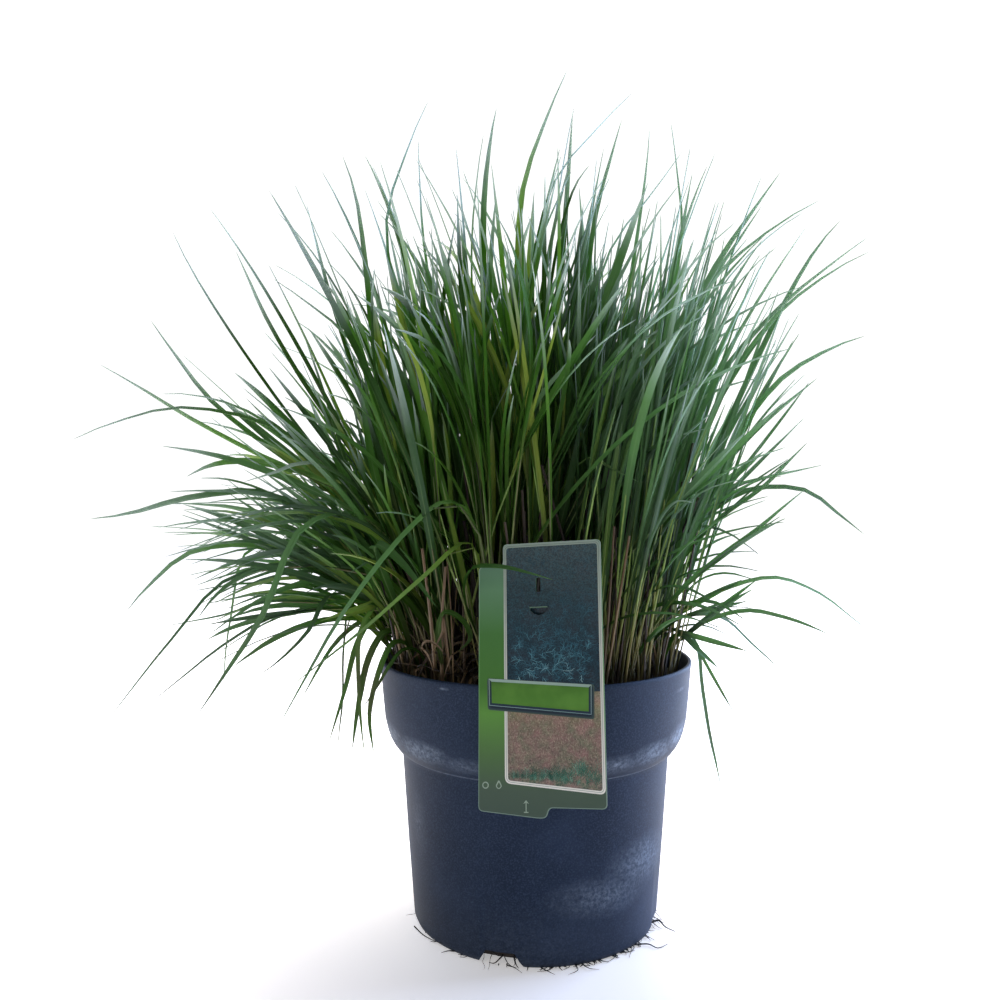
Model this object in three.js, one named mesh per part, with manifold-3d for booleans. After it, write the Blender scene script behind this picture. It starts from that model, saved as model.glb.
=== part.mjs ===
// Switchgrass in a nursery pot: a clump of leafy shoots in a root ball, in a round
// moulded container, with a plant label hooked over the rim.
// Millimetres, +Z up, origin at the middle of the pot's central foot, -Y at the front.
import * as THREE from 'three';
import { mergeVertices } from 'three/addons/utils/BufferGeometryUtils.js';
import Module from 'manifold-3d';

const wasm = await Module();
wasm.setup();

// ---------------------------------------------------------------- driving sizes
const GAP = 0.3; // between pieces that touch
const SIDES = 36; // facets round the pot and the root ball

const RIM_RADIUS = 120;
const POT_HEIGHT = 200;
const WALL = 1.8;
const FLOOR_TOP = 4.2;
const SHOULDER_HEIGHT = 131.5;
const SHOULDER_RADIUS = 103;
const COLLAR_RADIUS = 116;
const BASE_RADIUS = 94;
const FOOT_RADIUS = 20;
const FOOT_RING = [80, 82]; // inner radius of the foot ring, at its top and at its face
const NOTCHES = 4;
const NOTCH_START = THREE.MathUtils.degToRad(-107);
const NOTCH_WIDTHS = [37, 21]; // just below the table and at the notch's top
const NOTCH_HEIGHT = 10.5;
const NOTCH_RADII = [79, 101];
const NOTCH_SINK = 3; // how far the cut goes below the table

const SOIL_TOP = 184;
const BALL_CHAMFER = [72, 24]; // its radius on the floor and its height at the wall
const CROWN_TOP = 192;
const CROWN_BOTTOM = 150;
const CROWN_SIDES = 6;
const GREEN_CROWN_RADIUS = 9;
const DRY_CROWN_RADIUS = 6.5;

const HIGH_LENGTHS = [270, 470];
const LOW_LENGTHS = [230, 400];
const LEAF_WIDTHS = [4, 7.5];
const LEAVES_IN_MIDDLE = 14;
const LEAVES_AT_EDGE = 15;
const MIDDLE_TUFTS = 7;
const EDGE_RING = 80; // radius of the outer ring of tufts
const SHEATH_WIDTH = 1.8;

// ---------------------------------------------------------------- helpers
const UP = new THREE.Vector3(0, 0, 1);
const part = new THREE.Group();

function v3(x, y, z) {
  return new THREE.Vector3(x, y, z);
}

// The same numbers on every run, between 0 and 1.
function seeded(seed) {
  let state = seed >>> 0;
  return () => {
    state = (state + 0x6d2b79f5) >>> 0;
    let t = state;
    t = Math.imul(t ^ (t >>> 15), t | 1);
    t ^= t + Math.imul(t ^ (t >>> 7), t | 61);
    return ((t ^ (t >>> 14)) >>> 0) / 4294967296;
  };
}

function solidOf(geometry) {
  const plain = geometry.clone();
  plain.deleteAttribute('normal');
  plain.deleteAttribute('uv');
  const merged = mergeVertices(plain, 1e-3);
  return new wasm.Manifold(
    new wasm.Mesh({
      numProp: 3,
      vertProperties: new Float32Array(merged.attributes.position.array),
      triVerts: new Uint32Array(merged.index.array),
    }),
  );
}

function addMesh(name, solid, material) {
  const mesh = solid.getMesh();
  const geometry = new THREE.BufferGeometry();
  geometry.setAttribute('position', new THREE.BufferAttribute(mesh.vertProperties, 3));
  geometry.setIndex(new THREE.BufferAttribute(mesh.triVerts, 1));
  geometry.computeVertexNormals();
  const node = new THREE.Mesh(geometry, material);
  node.name = name;
  part.add(node);
}

// A body of revolution about Z from [radius, height] points.
function turned(profile, sides) {
  const points = profile.map(([radius, height]) => new THREE.Vector2(radius, height));
  return solidOf(new THREE.LatheGeometry(points, sides).rotateX(Math.PI / 2));
}

function finish(color, roughness) {
  return new THREE.MeshStandardMaterial({ color, roughness, metalness: 0 });
}

const potFinish = finish(0x2e3442, 0.45);
const compostFinish = finish(0x1c1714, 1);
const rootFinish = finish(0x2a2522, 0.9);
const labelFinish = finish(0x8fa39a, 0.4);
const greenFinish = finish(0x5f8a55, 0.55);
const strawFinish = finish(0xa98f6e, 0.75);

// ---------------------------------------------------------------- pot
// One moulded shell: tapered body, shoulder, wide collar, and a foot ring that four
// drain notches cut through to the floor inside. Profiles are [radius, height].
const RECESS = 2;
const potOuter = [
  [0, 0],
  [FOOT_RADIUS, 0],
  [FOOT_RADIUS + 1.5, RECESS],
  [FOOT_RING[0], RECESS],
  [FOOT_RING[1], 0],
  [BASE_RADIUS - 3.5, 0],
  [BASE_RADIUS, 5],
  [SHOULDER_RADIUS, SHOULDER_HEIGHT - 1],
  [SHOULDER_RADIUS + 1, SHOULDER_HEIGHT],
  [COLLAR_RADIUS - 3, SHOULDER_HEIGHT + 13],
  [COLLAR_RADIUS, SHOULDER_HEIGHT + 21],
  [RIM_RADIUS, POT_HEIGHT - 1],
  [RIM_RADIUS - 0.8, POT_HEIGHT],
];
const innerShoulder = [
  [SHOULDER_RADIUS - WALL, SHOULDER_HEIGHT + 0.8],
  [COLLAR_RADIUS - WALL - 3, SHOULDER_HEIGHT + 14],
  [COLLAR_RADIUS - WALL, SHOULDER_HEIGHT + 22],
];
const potInner = [
  [RIM_RADIUS - 2.2, POT_HEIGHT],
  ...[...innerShoulder].reverse(),
  [BASE_RADIUS - WALL + 0.5, 10],
  [BASE_RADIUS - 6, FLOOR_TOP],
  [0, FLOOR_TOP],
];
let pot = turned([...potOuter, ...potInner], SIDES);

const [lowHalf, topHalf] = NOTCH_WIDTHS.map((width) => width / 2);
const notchFace = new THREE.Shape([
  new THREE.Vector2(-lowHalf, -NOTCH_SINK),
  new THREE.Vector2(lowHalf, -NOTCH_SINK),
  new THREE.Vector2(topHalf, NOTCH_HEIGHT),
  new THREE.Vector2(-topHalf, NOTCH_HEIGHT),
]);
const notchDepth = NOTCH_RADII[1] - NOTCH_RADII[0];
const notchCutter = new THREE.ExtrudeGeometry(notchFace, { depth: notchDepth, bevelEnabled: false })
  .rotateX(Math.PI / 2)
  .rotateZ(Math.PI / 2)
  .translate(NOTCH_RADII[0], 0, 0);
for (let i = 0; i < NOTCHES; i++) {
  const angle = NOTCH_START + (i * 2 * Math.PI) / NOTCHES;
  pot = pot.subtract(solidOf(notchCutter.clone().rotateZ(angle)));
}
addMesh('pot', pot, potFinish);

// ---------------------------------------------------------------- places of the tufts
// A green tuft in the middle, rings of six and twelve, and dry tufts by the wall.
function ringOf(count, radius, turn, seed) {
  const random = seeded(seed);
  return Array.from({ length: count }, (_, i) => {
    const angle = turn + (i * 2 * Math.PI) / count + (random() - 0.5) * 0.06;
    const out = radius + (random() - 0.5) * 5;
    return v3(out * Math.cos(angle), out * Math.sin(angle), 0);
  });
}
const greenPlaces = [
  v3(1, -2, 0),
  ...ringOf(MIDDLE_TUFTS - 1, 39, 0.5, 5),
  ...ringOf(12, EDGE_RING, 0.15, 9),
];
const dryPlaces = ringOf(8, 99, 0.41, 21);

function crown(place, radius, grow) {
  const wide = radius + grow;
  const profile = [
    [0, CROWN_BOTTOM - grow],
    [radius * 0.7 + grow, CROWN_BOTTOM - grow],
    [wide, SOIL_TOP],
  ];
  profile.push(grow ? [wide, CROWN_TOP] : [radius * 0.86, CROWN_TOP - 2.5]);
  profile.push([0, CROWN_TOP]);
  return turned(profile, CROWN_SIDES).translate([place.x, place.y, 0]);
}
const greenCrowns = greenPlaces.map((place) => crown(place, GREEN_CROWN_RADIUS, 0));
const dryCrowns = dryPlaces.map((place) => crown(place, DRY_CROWN_RADIUS, 0));

// ---------------------------------------------------------------- root ball
// Compost bound by roots: it fits the pot, leaves a chamfer at the floor for the
// circling root, and has a plain hole for each crown.
let rootBall = turned(
  [
    [0, FLOOR_TOP + GAP],
    [BALL_CHAMFER[0], FLOOR_TOP + GAP],
    [BASE_RADIUS - 0.8, BALL_CHAMFER[1]],
    ...innerShoulder.map(([radius, height]) => [radius - GAP * 1.4, height]),
    [COLLAR_RADIUS - 0.2, SOIL_TOP - 4],
    [COLLAR_RADIUS - 4, SOIL_TOP - 1],
    [COLLAR_RADIUS - 12, SOIL_TOP],
    [0, SOIL_TOP],
  ],
  SIDES,
);
const holeGap = GAP / Math.cos(Math.PI / CROWN_SIDES);
greenPlaces.forEach((place) => {
  rootBall = rootBall.subtract(crown(place, GREEN_CROWN_RADIUS, holeGap));
});
dryPlaces.forEach((place) => {
  rootBall = rootBall.subtract(crown(place, DRY_CROWN_RADIUS, holeGap));
});
addMesh('root_ball', rootBall, compostFinish);

// ---------------------------------------------------------------- circling roots
// One thick root circles on the pot's floor, and thin ends leave by the notches.
const RING_RADIUS = 85;
const RING_THICKNESS = 2.3;
const RING_HEIGHT = FLOOR_TOP + GAP + RING_THICKNESS;
const ENDS_PER_NOTCH = 3;

function tubeAlong(points, radius, sides, steps) {
  const section = new THREE.Shape();
  for (let i = 0; i < sides; i++) {
    const turn = (i * 2 * Math.PI) / sides;
    const corner = [radius * Math.cos(turn), radius * Math.sin(turn)];
    if (i === 0) section.moveTo(...corner);
    else section.lineTo(...corner);
  }
  const extrudePath = new THREE.CatmullRomCurve3(points);
  return solidOf(new THREE.ExtrudeGeometry(section, { steps, extrudePath, bevelEnabled: false }));
}

const RING_SIDES = 5;
const ringProfile = Array.from({ length: RING_SIDES + 1 }, (_, i) => {
  const turn = (i * 2 * Math.PI) / RING_SIDES;
  return [
    RING_RADIUS + RING_THICKNESS * Math.cos(turn),
    RING_HEIGHT + RING_THICKNESS * Math.sin(turn),
  ];
});
const rootPieces = [turned(ringProfile, 32)];
const rootRandom = seeded(77);
for (let i = 0; i < NOTCHES; i++) {
  for (let k = 0; k < ENDS_PER_NOTCH; k++) {
    const middle = NOTCH_START + (i * 2 * Math.PI) / NOTCHES;
    const start = middle + ((k + 0.5) / ENDS_PER_NOTCH - 0.5) * 0.2;
    const drift = (rootRandom() - 0.5) * 0.16;
    const reach = 92 + rootRandom() * 8;
    const endHeight = rootRandom() < 0.3 ? 7 : 1.3;
    const at = (radius, turn, height) =>
      v3(radius * Math.cos(turn), radius * Math.sin(turn), height);
    const route = [
      at(RING_RADIUS, start, RING_HEIGHT),
      at(RING_RADIUS + 5, start + drift * 0.2, RING_HEIGHT - 1.5),
      at(reach - 2, start + drift * 0.5, 1.6),
      at(reach, start + drift, endHeight),
    ];
    rootPieces.push(tubeAlong(route, 0.6, 3, 4));
  }
}
addMesh('circling_roots', wasm.Manifold.union(rootPieces), rootFinish);

// ---------------------------------------------------------------- plant label
// A thin printed plate that leans back over the rim. A tongue behind it goes down
// between the pot's wall and the plant and hooks it on the rim.
const LABEL_THICKNESS = 0.8;
const LABEL_LEAN = THREE.MathUtils.degToRad(13);
const LABEL_TURN = THREE.MathUtils.degToRad(-18);
const LABEL_ROLL = THREE.MathUtils.degToRad(4.3);
const LABEL_PLACE = v3(16, -134, POT_HEIGHT);
const STRIP_LEFT = -60;
const PANEL_LEFT = -43;
const PANEL_RIGHT = 24;
const STRIP_TOP = 84;
const PANEL_TOP = 98.5;
const STRIP_BOTTOM = -74;
const STRIP_SLOPE = 3.5;
const PANEL_BOTTOM = -71;
const STEP_PLACE = -13;
const CORNER = 3;

const labelOutline = new THREE.Shape();
labelOutline.moveTo(STRIP_LEFT, STRIP_BOTTOM + CORNER);
labelOutline.quadraticCurveTo(STRIP_LEFT, STRIP_BOTTOM, STRIP_LEFT + CORNER, STRIP_BOTTOM);
labelOutline.lineTo(STEP_PLACE - CORNER, STRIP_BOTTOM - STRIP_SLOPE);
labelOutline.lineTo(STEP_PLACE, PANEL_BOTTOM);
labelOutline.lineTo(PANEL_RIGHT - CORNER, PANEL_BOTTOM);
labelOutline.quadraticCurveTo(PANEL_RIGHT, PANEL_BOTTOM, PANEL_RIGHT, PANEL_BOTTOM + CORNER);
labelOutline.lineTo(PANEL_RIGHT, PANEL_TOP - CORNER);
labelOutline.quadraticCurveTo(PANEL_RIGHT, PANEL_TOP, PANEL_RIGHT - CORNER, PANEL_TOP);
labelOutline.lineTo(PANEL_LEFT + CORNER, PANEL_TOP);
labelOutline.quadraticCurveTo(PANEL_LEFT, PANEL_TOP, PANEL_LEFT, PANEL_TOP - CORNER);
labelOutline.lineTo(PANEL_LEFT, STRIP_TOP);
labelOutline.lineTo(STRIP_LEFT + CORNER, STRIP_TOP);
labelOutline.quadraticCurveTo(STRIP_LEFT, STRIP_TOP, STRIP_LEFT, STRIP_TOP - CORNER);
const slot = new THREE.Path();
slot.moveTo(-19, 64);
slot.lineTo(-19, 75);
slot.lineTo(-18, 75);
slot.lineTo(-18, 64);
const tab = new THREE.Path();
tab.moveTo(-24.5, 51);
tab.lineTo(-24.5, 55);
tab.lineTo(-12, 55);
tab.lineTo(-12, 51);
labelOutline.holes.push(slot, tab);

const labelPose = new THREE.Matrix4()
  .makeTranslation(LABEL_PLACE.x, LABEL_PLACE.y, LABEL_PLACE.z)
  .multiply(new THREE.Matrix4().makeRotationZ(LABEL_TURN))
  .multiply(new THREE.Matrix4().makeRotationX(Math.PI / 2 - LABEL_LEAN))
  .multiply(new THREE.Matrix4().makeRotationZ(LABEL_ROLL));
const plate = new THREE.ExtrudeGeometry(labelOutline, {
  depth: LABEL_THICKNESS,
  bevelEnabled: false,
  curveSegments: 3,
})
  .translate(0, 0, -LABEL_THICKNESS / 2)
  .applyMatrix4(labelPose);
const TONGUE_WIDTH = 12;
const TONGUE_BOTTOM = SOIL_TOP + 3;
const TONGUE_RADIUS = 113.3;
const TONGUE_MIDDLE = -18;
let tongueTop = v3(TONGUE_MIDDLE, 40, 0);
while (Math.hypot(...tongueTop.clone().applyMatrix4(labelPose).toArray().slice(0, 2)) > TONGUE_RADIUS)
  tongueTop.y += 0.5;
tongueTop = tongueTop.applyMatrix4(labelPose);
const tongue = new THREE.BoxGeometry(TONGUE_WIDTH, LABEL_THICKNESS, tongueTop.z - TONGUE_BOTTOM)
  .rotateZ(LABEL_TURN)
  .translate(tongueTop.x, tongueTop.y, (tongueTop.z + TONGUE_BOTTOM) / 2);
const label = solidOf(plate).add(solidOf(tongue));
addMesh('plant_label', label, labelFinish);

// ---------------------------------------------------------------- one leaf
// A leaf is one sweep of a three-cornered section: two edges and a keel. It is a
// rolled sheath at its root, opens to the blade's width and ends in a point.
const STATIONS = [0, 0.22, 0.43, 0.62, 0.79, 0.92];
const OPENING = [0, 0.15, 0.75, 1, 0.8, 0.42];
const EDGE_LIFT = 0.22; // of the half width, that the two edges stand above the midrib
const KEEL_DEPTHS = [0.75, 0.55]; // of the rolled sheath and of the open blade

function leafSolid(leaf, grow) {
  const curve = new THREE.CatmullRomCurve3(leaf.points, false, 'centripetal');
  const positions = [];
  const index = [];
  STATIONS.forEach((u, i) => {
    const at = curve.getPointAt(u);
    const tangent = curve.getTangentAt(u);
    const side = leaf.side.clone().addScaledVector(tangent, -leaf.side.dot(tangent)).normalize();
    side.applyAxisAngle(tangent, leaf.twist * u * u);
    const above = new THREE.Vector3().crossVectors(side, tangent);
    const half = (SHEATH_WIDTH + (leaf.width - SHEATH_WIDTH) * OPENING[i]) / 2;
    const lift = half * EDGE_LIFT + 0.25 + grow;
    const keel = THREE.MathUtils.lerp(...KEEL_DEPTHS, OPENING[i]) + grow;
    const left = at.clone().addScaledVector(side, -half - grow).addScaledVector(above, lift);
    const right = at.clone().addScaledVector(side, half + grow).addScaledVector(above, lift);
    const middle = at.clone().addScaledVector(above, -keel);
    positions.push(...left.toArray(), ...right.toArray(), ...middle.toArray());
  });
  positions.push(...curve.getPointAt(1).toArray());
  const last = STATIONS.length - 1;
  for (let i = 0; i < last; i++) {
    for (let k = 0; k < 3; k++) {
      const a = i * 3 + k;
      const b = i * 3 + ((k + 1) % 3);
      index.push(a, b, b + 3, a, b + 3, a + 3);
    }
  }
  for (let k = 0; k < 3; k++) {
    index.push(last * 3 + k, last * 3 + ((k + 1) % 3), last * 3 + 3);
  }
  index.push(0, 2, 1);
  const geometry = new THREE.BufferGeometry();
  geometry.setAttribute('position', new THREE.Float32BufferAttribute(positions, 3));
  geometry.setIndex(index);
  return solidOf(geometry);
}

// ---------------------------------------------------------------- keeping leaves apart
const LEAF_CLEARANCE = 0.35;
const crowns = [...greenCrowns, ...dryCrowns];
let placed = wasm.Manifold.union([pot, label]);

function isClear(leaf, others) {
  const fat = leafSolid(leaf, LEAF_CLEARANCE);
  const clear =
    fat.volume() > 0 && fat.intersect(placed).isEmpty() && fat.intersect(others).isEmpty();
  fat.delete();
  return clear;
}

// ---------------------------------------------------------------- main leaves
// The leaves that give the clump its outline, tip first, as points on the midrib.
const MAIN_LEAVES = [
  { width: 7, path: [[-265, 40, 560], [-240, 30, 525], [-185, 20, 435]] },
  { width: 6, path: [[-275, -20, 525], [-260, -10, 490], [-220, 0, 425]] },
  { width: 6, path: [[-255, 80, 535], [-205, 30, 445]] },
  { width: 7, path: [[-190, 60, 570], [-160, 20, 470]] },
  { width: 7, path: [[-150, 0, 590], [-135, 0, 540], [-130, 0, 465]] },
  { width: 6, path: [[-145, 90, 620], [-115, 40, 550]] },
  { width: 7, path: [[-80, -30, 620], [-110, -20, 555], [-115, -10, 515]] },
  { width: 8, path: [[-30, 60, 650], [-40, 30, 575]] },
  { width: 6, path: [[-95, 50, 620], [-90, 30, 530]] },
  { width: 8, path: [[-60, -30, 585], [-55, -20, 520]] },
  { width: 6, path: [[-40, 10, 610], [-50, 10, 535]] },
  { width: 7, path: [[-195, -40, 485], [-140, -20, 440]] },
  { width: 6, path: [[-165, 30, 540], [-125, 10, 480]] },
  { width: 6, path: [[-285, -40, 455], [-245, -20, 395]] },
  { width: 8, path: [[-315, -60, 420], [-275, -50, 395], [-210, -40, 355], [-160, -30, 340]] },
  { width: 7, path: [[-325, -80, 365], [-305, -65, 380], [-245, -55, 390], [-180, -40, 370]] },
  { width: 6, path: [[-285, 40, 440], [-220, 20, 375]] },
  { width: 9, path: [[-305, -100, 310], [-270, -85, 315], [-240, -65, 325], [-195, -50, 325]] },
  { width: 8, path: [[-195, -120, 335], [-145, -70, 345]] },
  { width: 7, path: [[-285, -90, 245], [-255, -70, 280], [-215, -50, 290]] },
  { width: 7, path: [[-310, -60, 165], [-260, -55, 225], [-205, -50, 275]] },
  { width: 7, path: [[-250, -130, 195], [-205, -105, 230], [-185, -80, 240]] },
  { width: 8, path: [[-220, -140, 185], [-185, -115, 245], [-155, -95, 310], [-140, -70, 320]] },
  { width: 6, path: [[-255, 40, 165], [-245, 20, 215], [-210, 0, 295]] },
  { width: 6, path: [[-195, -100, 200], [-165, -80, 220], [-140, -60, 260]] },
  { width: 6, path: [[-295, 20, 220], [-245, 5, 230], [-180, -10, 245]] },
  { width: 5, path: [[-165, 60, 110], [-155, 35, 165], [-145, 10, 240]] },
  { width: 5, path: [[-125, -60, 140], [-130, -55, 185], [-122, -50, 250]] },
  { width: 9, path: [[-155, -190, 195], [-115, -155, 265], [-65, -115, 325], [-55, -80, 325]] },
  { width: 7, path: [[-150, -180, 215], [-115, -150, 240], [-55, -120, 290], [-45, -90, 290]] },
  { width: 8, path: [[6, -150, 274], [-12, -146, 278], [-35, -130, 280], [-52, -108, 270]] },
  { width: 6, path: [[65, -110, 335], [45, -90, 345], [25, -70, 350]] },
  { width: 9, path: [[35, -130, 430], [0, -100, 390], [-25, -70, 315]] },
  { width: 7, path: [[110, -40, 460], [65, -35, 430], [25, -30, 395]] },
  { width: 8, path: [[120, -100, 385], [100, -80, 365], [45, -60, 295]] },
  { width: 10, path: [[25, 0, 655], [5, 0, 605], [-10, 0, 550]] },
  { width: 9, path: [[80, 30, 650], [45, 20, 610], [5, 10, 545]] },
  { width: 7, path: [[75, 60, 640], [65, 45, 605], [45, 30, 520]] },
  { width: 7, path: [[35, 80, 650], [30, 50, 600]] },
  { width: 7, path: [[95, 40, 625], [90, 30, 575], [75, 20, 480]] },
  { width: 8, path: [[105, 0, 615], [115, 0, 535], [110, 0, 490]] },
  { width: 8, path: [[105, -50, 575], [80, -40, 540], [45, -30, 485]] },
  { width: 10, path: [[185, -20, 570], [145, -15, 510], [115, -10, 455]] },
  { width: 7, path: [[190, 50, 565], [135, 30, 475]] },
  { width: 7, path: [[230, 60, 550], [205, 45, 515], [150, 30, 425]] },
  { width: 7, path: [[245, 20, 545], [220, 15, 515], [180, 10, 440]] },
  { width: 8, path: [[260, 0, 525], [215, 0, 490], [155, 0, 435]] },
  { width: 6, path: [[245, -40, 505], [210, -30, 485], [160, -20, 435]] },
  { width: 8, path: [[235, -60, 440], [210, -50, 430], [165, -40, 395]] },
  { width: 7, path: [[230, 30, 420], [205, 20, 400], [155, 10, 355]] },
  { width: 7, path: [[200, -40, 365], [155, -40, 320], [125, -40, 300]] },
  { width: 6, path: [[245, 60, 350], [200, 45, 340], [155, 30, 330]] },
  { width: 7, path: [[250, -20, 295], [200, -20, 330], [180, -20, 330], [140, -20, 320]] },
  { width: 8, path: [[175, -110, 330], [140, -95, 295], [105, -80, 265]] },
  { width: 6, path: [[270, 20, 215], [220, 15, 250], [180, 5, 260], [145, 0, 250]] },
  { width: 6, path: [[210, -60, 225], [185, -55, 235], [140, -50, 240]] },
  { width: 6, path: [[195, 0, 185], [160, 0, 220], [132, 0, 237]] },
  { width: 6, path: [[132, -60, 115], [120, -56, 170], [112, -55, 222], [95, -50, 235]] },
];

// Each main leaf grows from a tuft near the line from its lowest point to the middle
// of the clump's fan, which is below the soil.
const FAN_DEPTH = 300;
function tuftsTowards(low) {
  const scale = FAN_DEPTH / (low.z - SOIL_TOP + FAN_DEPTH);
  const root = v3(low.x * scale, low.y * scale, 0);
  const away = (tuft) => tuft.place.distanceTo(root);
  return [...tufts].sort((a, b) => away(a) - away(b)).slice(0, 5);
}

// Feet spread over a crown as seeds do on a sunflower.
const GOLDEN = Math.PI * (3 - Math.sqrt(5));
const FOOT_SINK = 6;
const FOOT_EDGE = 2.4; // kept free round the crown's top
function feetOn(place, radius, count) {
  return Array.from({ length: count }, (_, i) => {
    const out = (radius - FOOT_EDGE) * Math.sqrt((i + 0.4) / count);
    const turn = i * GOLDEN + place.x;
    const x = place.x + out * Math.cos(turn);
    const y = place.y + out * Math.sin(turn);
    return v3(x, y, CROWN_TOP - FOOT_SINK);
  });
}

const tufts = greenPlaces.map((place, n) => ({
  place,
  leaves: [],
  feet: feetOn(place, GREEN_CROWN_RADIUS, n < MIDDLE_TUFTS ? LEAVES_IN_MIDDLE : LEAVES_AT_EDGE),
  others: wasm.Manifold.union([rootBall, ...crowns.filter((_, i) => i !== n)]),
}));

// A main leaf's own points shift a little where a leaf before it stands in its way.
function mainLeaf(main, foot, random, shift) {
  const points = main.path.map(([x, y, z]) =>
    v3(
      x + (random() - 0.5) * shift,
      y + (random() - 0.5) * shift * 3,
      z + (random() - 0.5) * shift,
    ),
  );
  points.reverse();
  const toLow = points[0].clone().sub(foot);
  const rise = UP.clone().lerp(toLow.clone().normalize(), 0.3 + random() * 0.6).normalize();
  const elbow = foot.clone().addScaledVector(rise, toLow.length() * (0.25 + random() * 0.25));
  const tip = points[points.length - 1];
  return {
    points: [foot, elbow, ...points],
    side: v3(tip.y - foot.y, foot.x - tip.x, 0).normalize(),
    twist: (random() - 0.5) * 1.6,
    width: main.width * 0.85,
  };
}

// ---------------------------------------------------------------- rule for the rest
// A blade starts near its tuft's lean and bends over more and more towards its tip.
// High leaves stand up in the clump, and low ones arch out over the rim.
const LOWEST_TIP = 112;
const LOW_SHARE = 0.42;
const SPREAD = [
  { height: LOWEST_TIP, left: 200, right: 160 },
  { height: 240, left: 250, right: 155 },
  { height: 320, left: 290, right: 180 },
  { height: 430, left: 285, right: 215 },
  { height: 520, left: 240, right: 225 },
  { height: 600, left: 165, right: 175 },
];
const DOME = { top: 632, across: 0.0013, deep: 0.0012, frontDrop: 0.3 };
const KEPT_CLEAR = [
  { below: 215, front: -95, left: -125, right: 125 }, // the pot's front
  { below: 330, front: -105, left: -70, right: 55 }, // the label
];
const EDGE_LEAN = { left: 32, right: 18 }; // most extra lean of a high leaf at the edge, in degrees

function degrees(from, to, share) {
  return THREE.MathUtils.degToRad(THREE.MathUtils.lerp(from, to, share));
}

function ruleLeaf(place, foot, random, ease) {
  const share = Math.min(1, Math.hypot(place.x, place.y) / EDGE_RING) * (1 - ease);
  const low = random() < LOW_SHARE * share;
  const outward = Math.atan2(place.y, place.x);
  const footTurn = Math.atan2(foot.y - place.y, foot.x - place.x);
  const stray = low ? 0.9 : 1.3;
  const pull = v3(
    Math.cos(outward) * share + Math.cos(footTurn) * 0.35 + (random() - 0.5) * stray,
    Math.sin(outward) * share + Math.sin(footTurn) * 0.35 + (random() - 0.5) * stray,
    0,
  ).normalize();
  const length = THREE.MathUtils.lerp(...(low ? LOW_LENGTHS : HIGH_LENGTHS), random() ** 0.8);
  const edgeLean = place.x < 0 ? EDGE_LEAN.left : EDGE_LEAN.right;
  const start = low
    ? degrees(20, 48, random())
    : degrees(1 + 3 * share, 9 + edgeLean * share, random());
  const bend = low ? degrees(35, 95, random()) : degrees(8, 75, random() ** 1.8);
  const sharpness = 1.5 + random() * 1.5;
  const sway = (random() - 0.5) * 0.5;
  const points = [foot];
  const steps = 10;
  const at = foot.clone();
  for (let i = 0; i < steps; i++) {
    const angle = start + bend * ((i + 0.5) / steps) ** sharpness;
    const level = pull.clone().applyAxisAngle(UP, (sway * i) / steps);
    at.addScaledVector(level, (Math.sin(angle) * length) / steps);
    at.addScaledVector(UP, (Math.cos(angle) * length) / steps);
    points.push(at.clone());
  }
  return {
    points,
    side: new THREE.Vector3().crossVectors(pull, UP).normalize(),
    twist: (random() - 0.5) * 2.4,
    width: THREE.MathUtils.lerp(...LEAF_WIDTHS, random()),
  };
}

// How far the thick of the clump spreads at a height: to its left, its right and its depth.
function spreadAt(height) {
  const above = SPREAD.findIndex((level, i) => i > 0 && level.height >= height);
  const [a, b] = SPREAD.slice(above < 0 ? -2 : above - 1);
  const share = THREE.MathUtils.clamp((height - a.height) / (b.height - a.height), 0, 1);
  const left = THREE.MathUtils.lerp(a.left, b.left, share);
  const right = THREE.MathUtils.lerp(a.right, b.right, share);
  return { left, right, depth: (left + right) / 2 };
}

// The clump's top is a dome, the pot's front stays open and the label stays in view.
function inReach(leaf) {
  return leaf.points.every((p) => {
    const spread = spreadAt(p.z);
    const sag = DOME.across * p.x ** 2 + DOME.deep * p.y ** 2 - DOME.frontDrop * Math.min(0, p.y);
    const inTheWay = KEPT_CLEAR.some(
      (box) => p.z < box.below && p.y < box.front && p.x > box.left && p.x < box.right,
    );
    const within = Math.hypot(p.x / (p.x < 0 ? spread.left : spread.right), p.y / spread.depth) < 1;
    return within && p.z < DOME.top - sag && p.z > LOWEST_TIP && !inTheWay;
  });
}

// ---------------------------------------------------------------- green tufts
const TRIES = 40;
const MAIN_TRIES = 24;
const leafRandom = seeded(4);

function plant(tuft, leaf) {
  const solid = leafSolid(leaf, 0);
  tuft.leaves.push(solid);
  placed = placed.add(solid);
}

function plantMain(main) {
  const low = v3(...main.path[main.path.length - 1]);
  for (const tuft of tuftsTowards(low)) {
    if (!tuft.feet.length) continue;
    tuft.feet.sort((a, b) => a.distanceTo(low) - b.distanceTo(low));
    for (let i = 0; i < MAIN_TRIES; i++) {
      const leaf = mainLeaf(main, tuft.feet[0], leafRandom, (i / MAIN_TRIES) * 14);
      if (!isClear(leaf, tuft.others)) continue;
      plant(tuft, leaf);
      tuft.feet.shift();
      return;
    }
  }
}
MAIN_LEAVES.forEach(plantMain);

tufts.forEach((tuft, n) => {
  tuft.feet.forEach((foot) => {
    for (let i = 0; i < TRIES; i++) {
      const leaf = ruleLeaf(tuft.place, foot, leafRandom, i / TRIES);
      if (!inReach(leaf) || !isClear(leaf, tuft.others)) continue;
      plant(tuft, leaf);
      return;
    }
  });
  const solid = wasm.Manifold.union([greenCrowns[n], ...tuft.leaves]);
  addMesh('green_tuft_' + String(n + 1).padStart(2, '0'), solid, greenFinish);
});

// ---------------------------------------------------------------- dry tufts
// Last year's stems, cut or broken off short.
const STRAWS_PER_TUFT = 8;

function strawSolid(foot, top, radius) {
  return tubeAlong([foot, top], radius, 3, 1);
}

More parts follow.
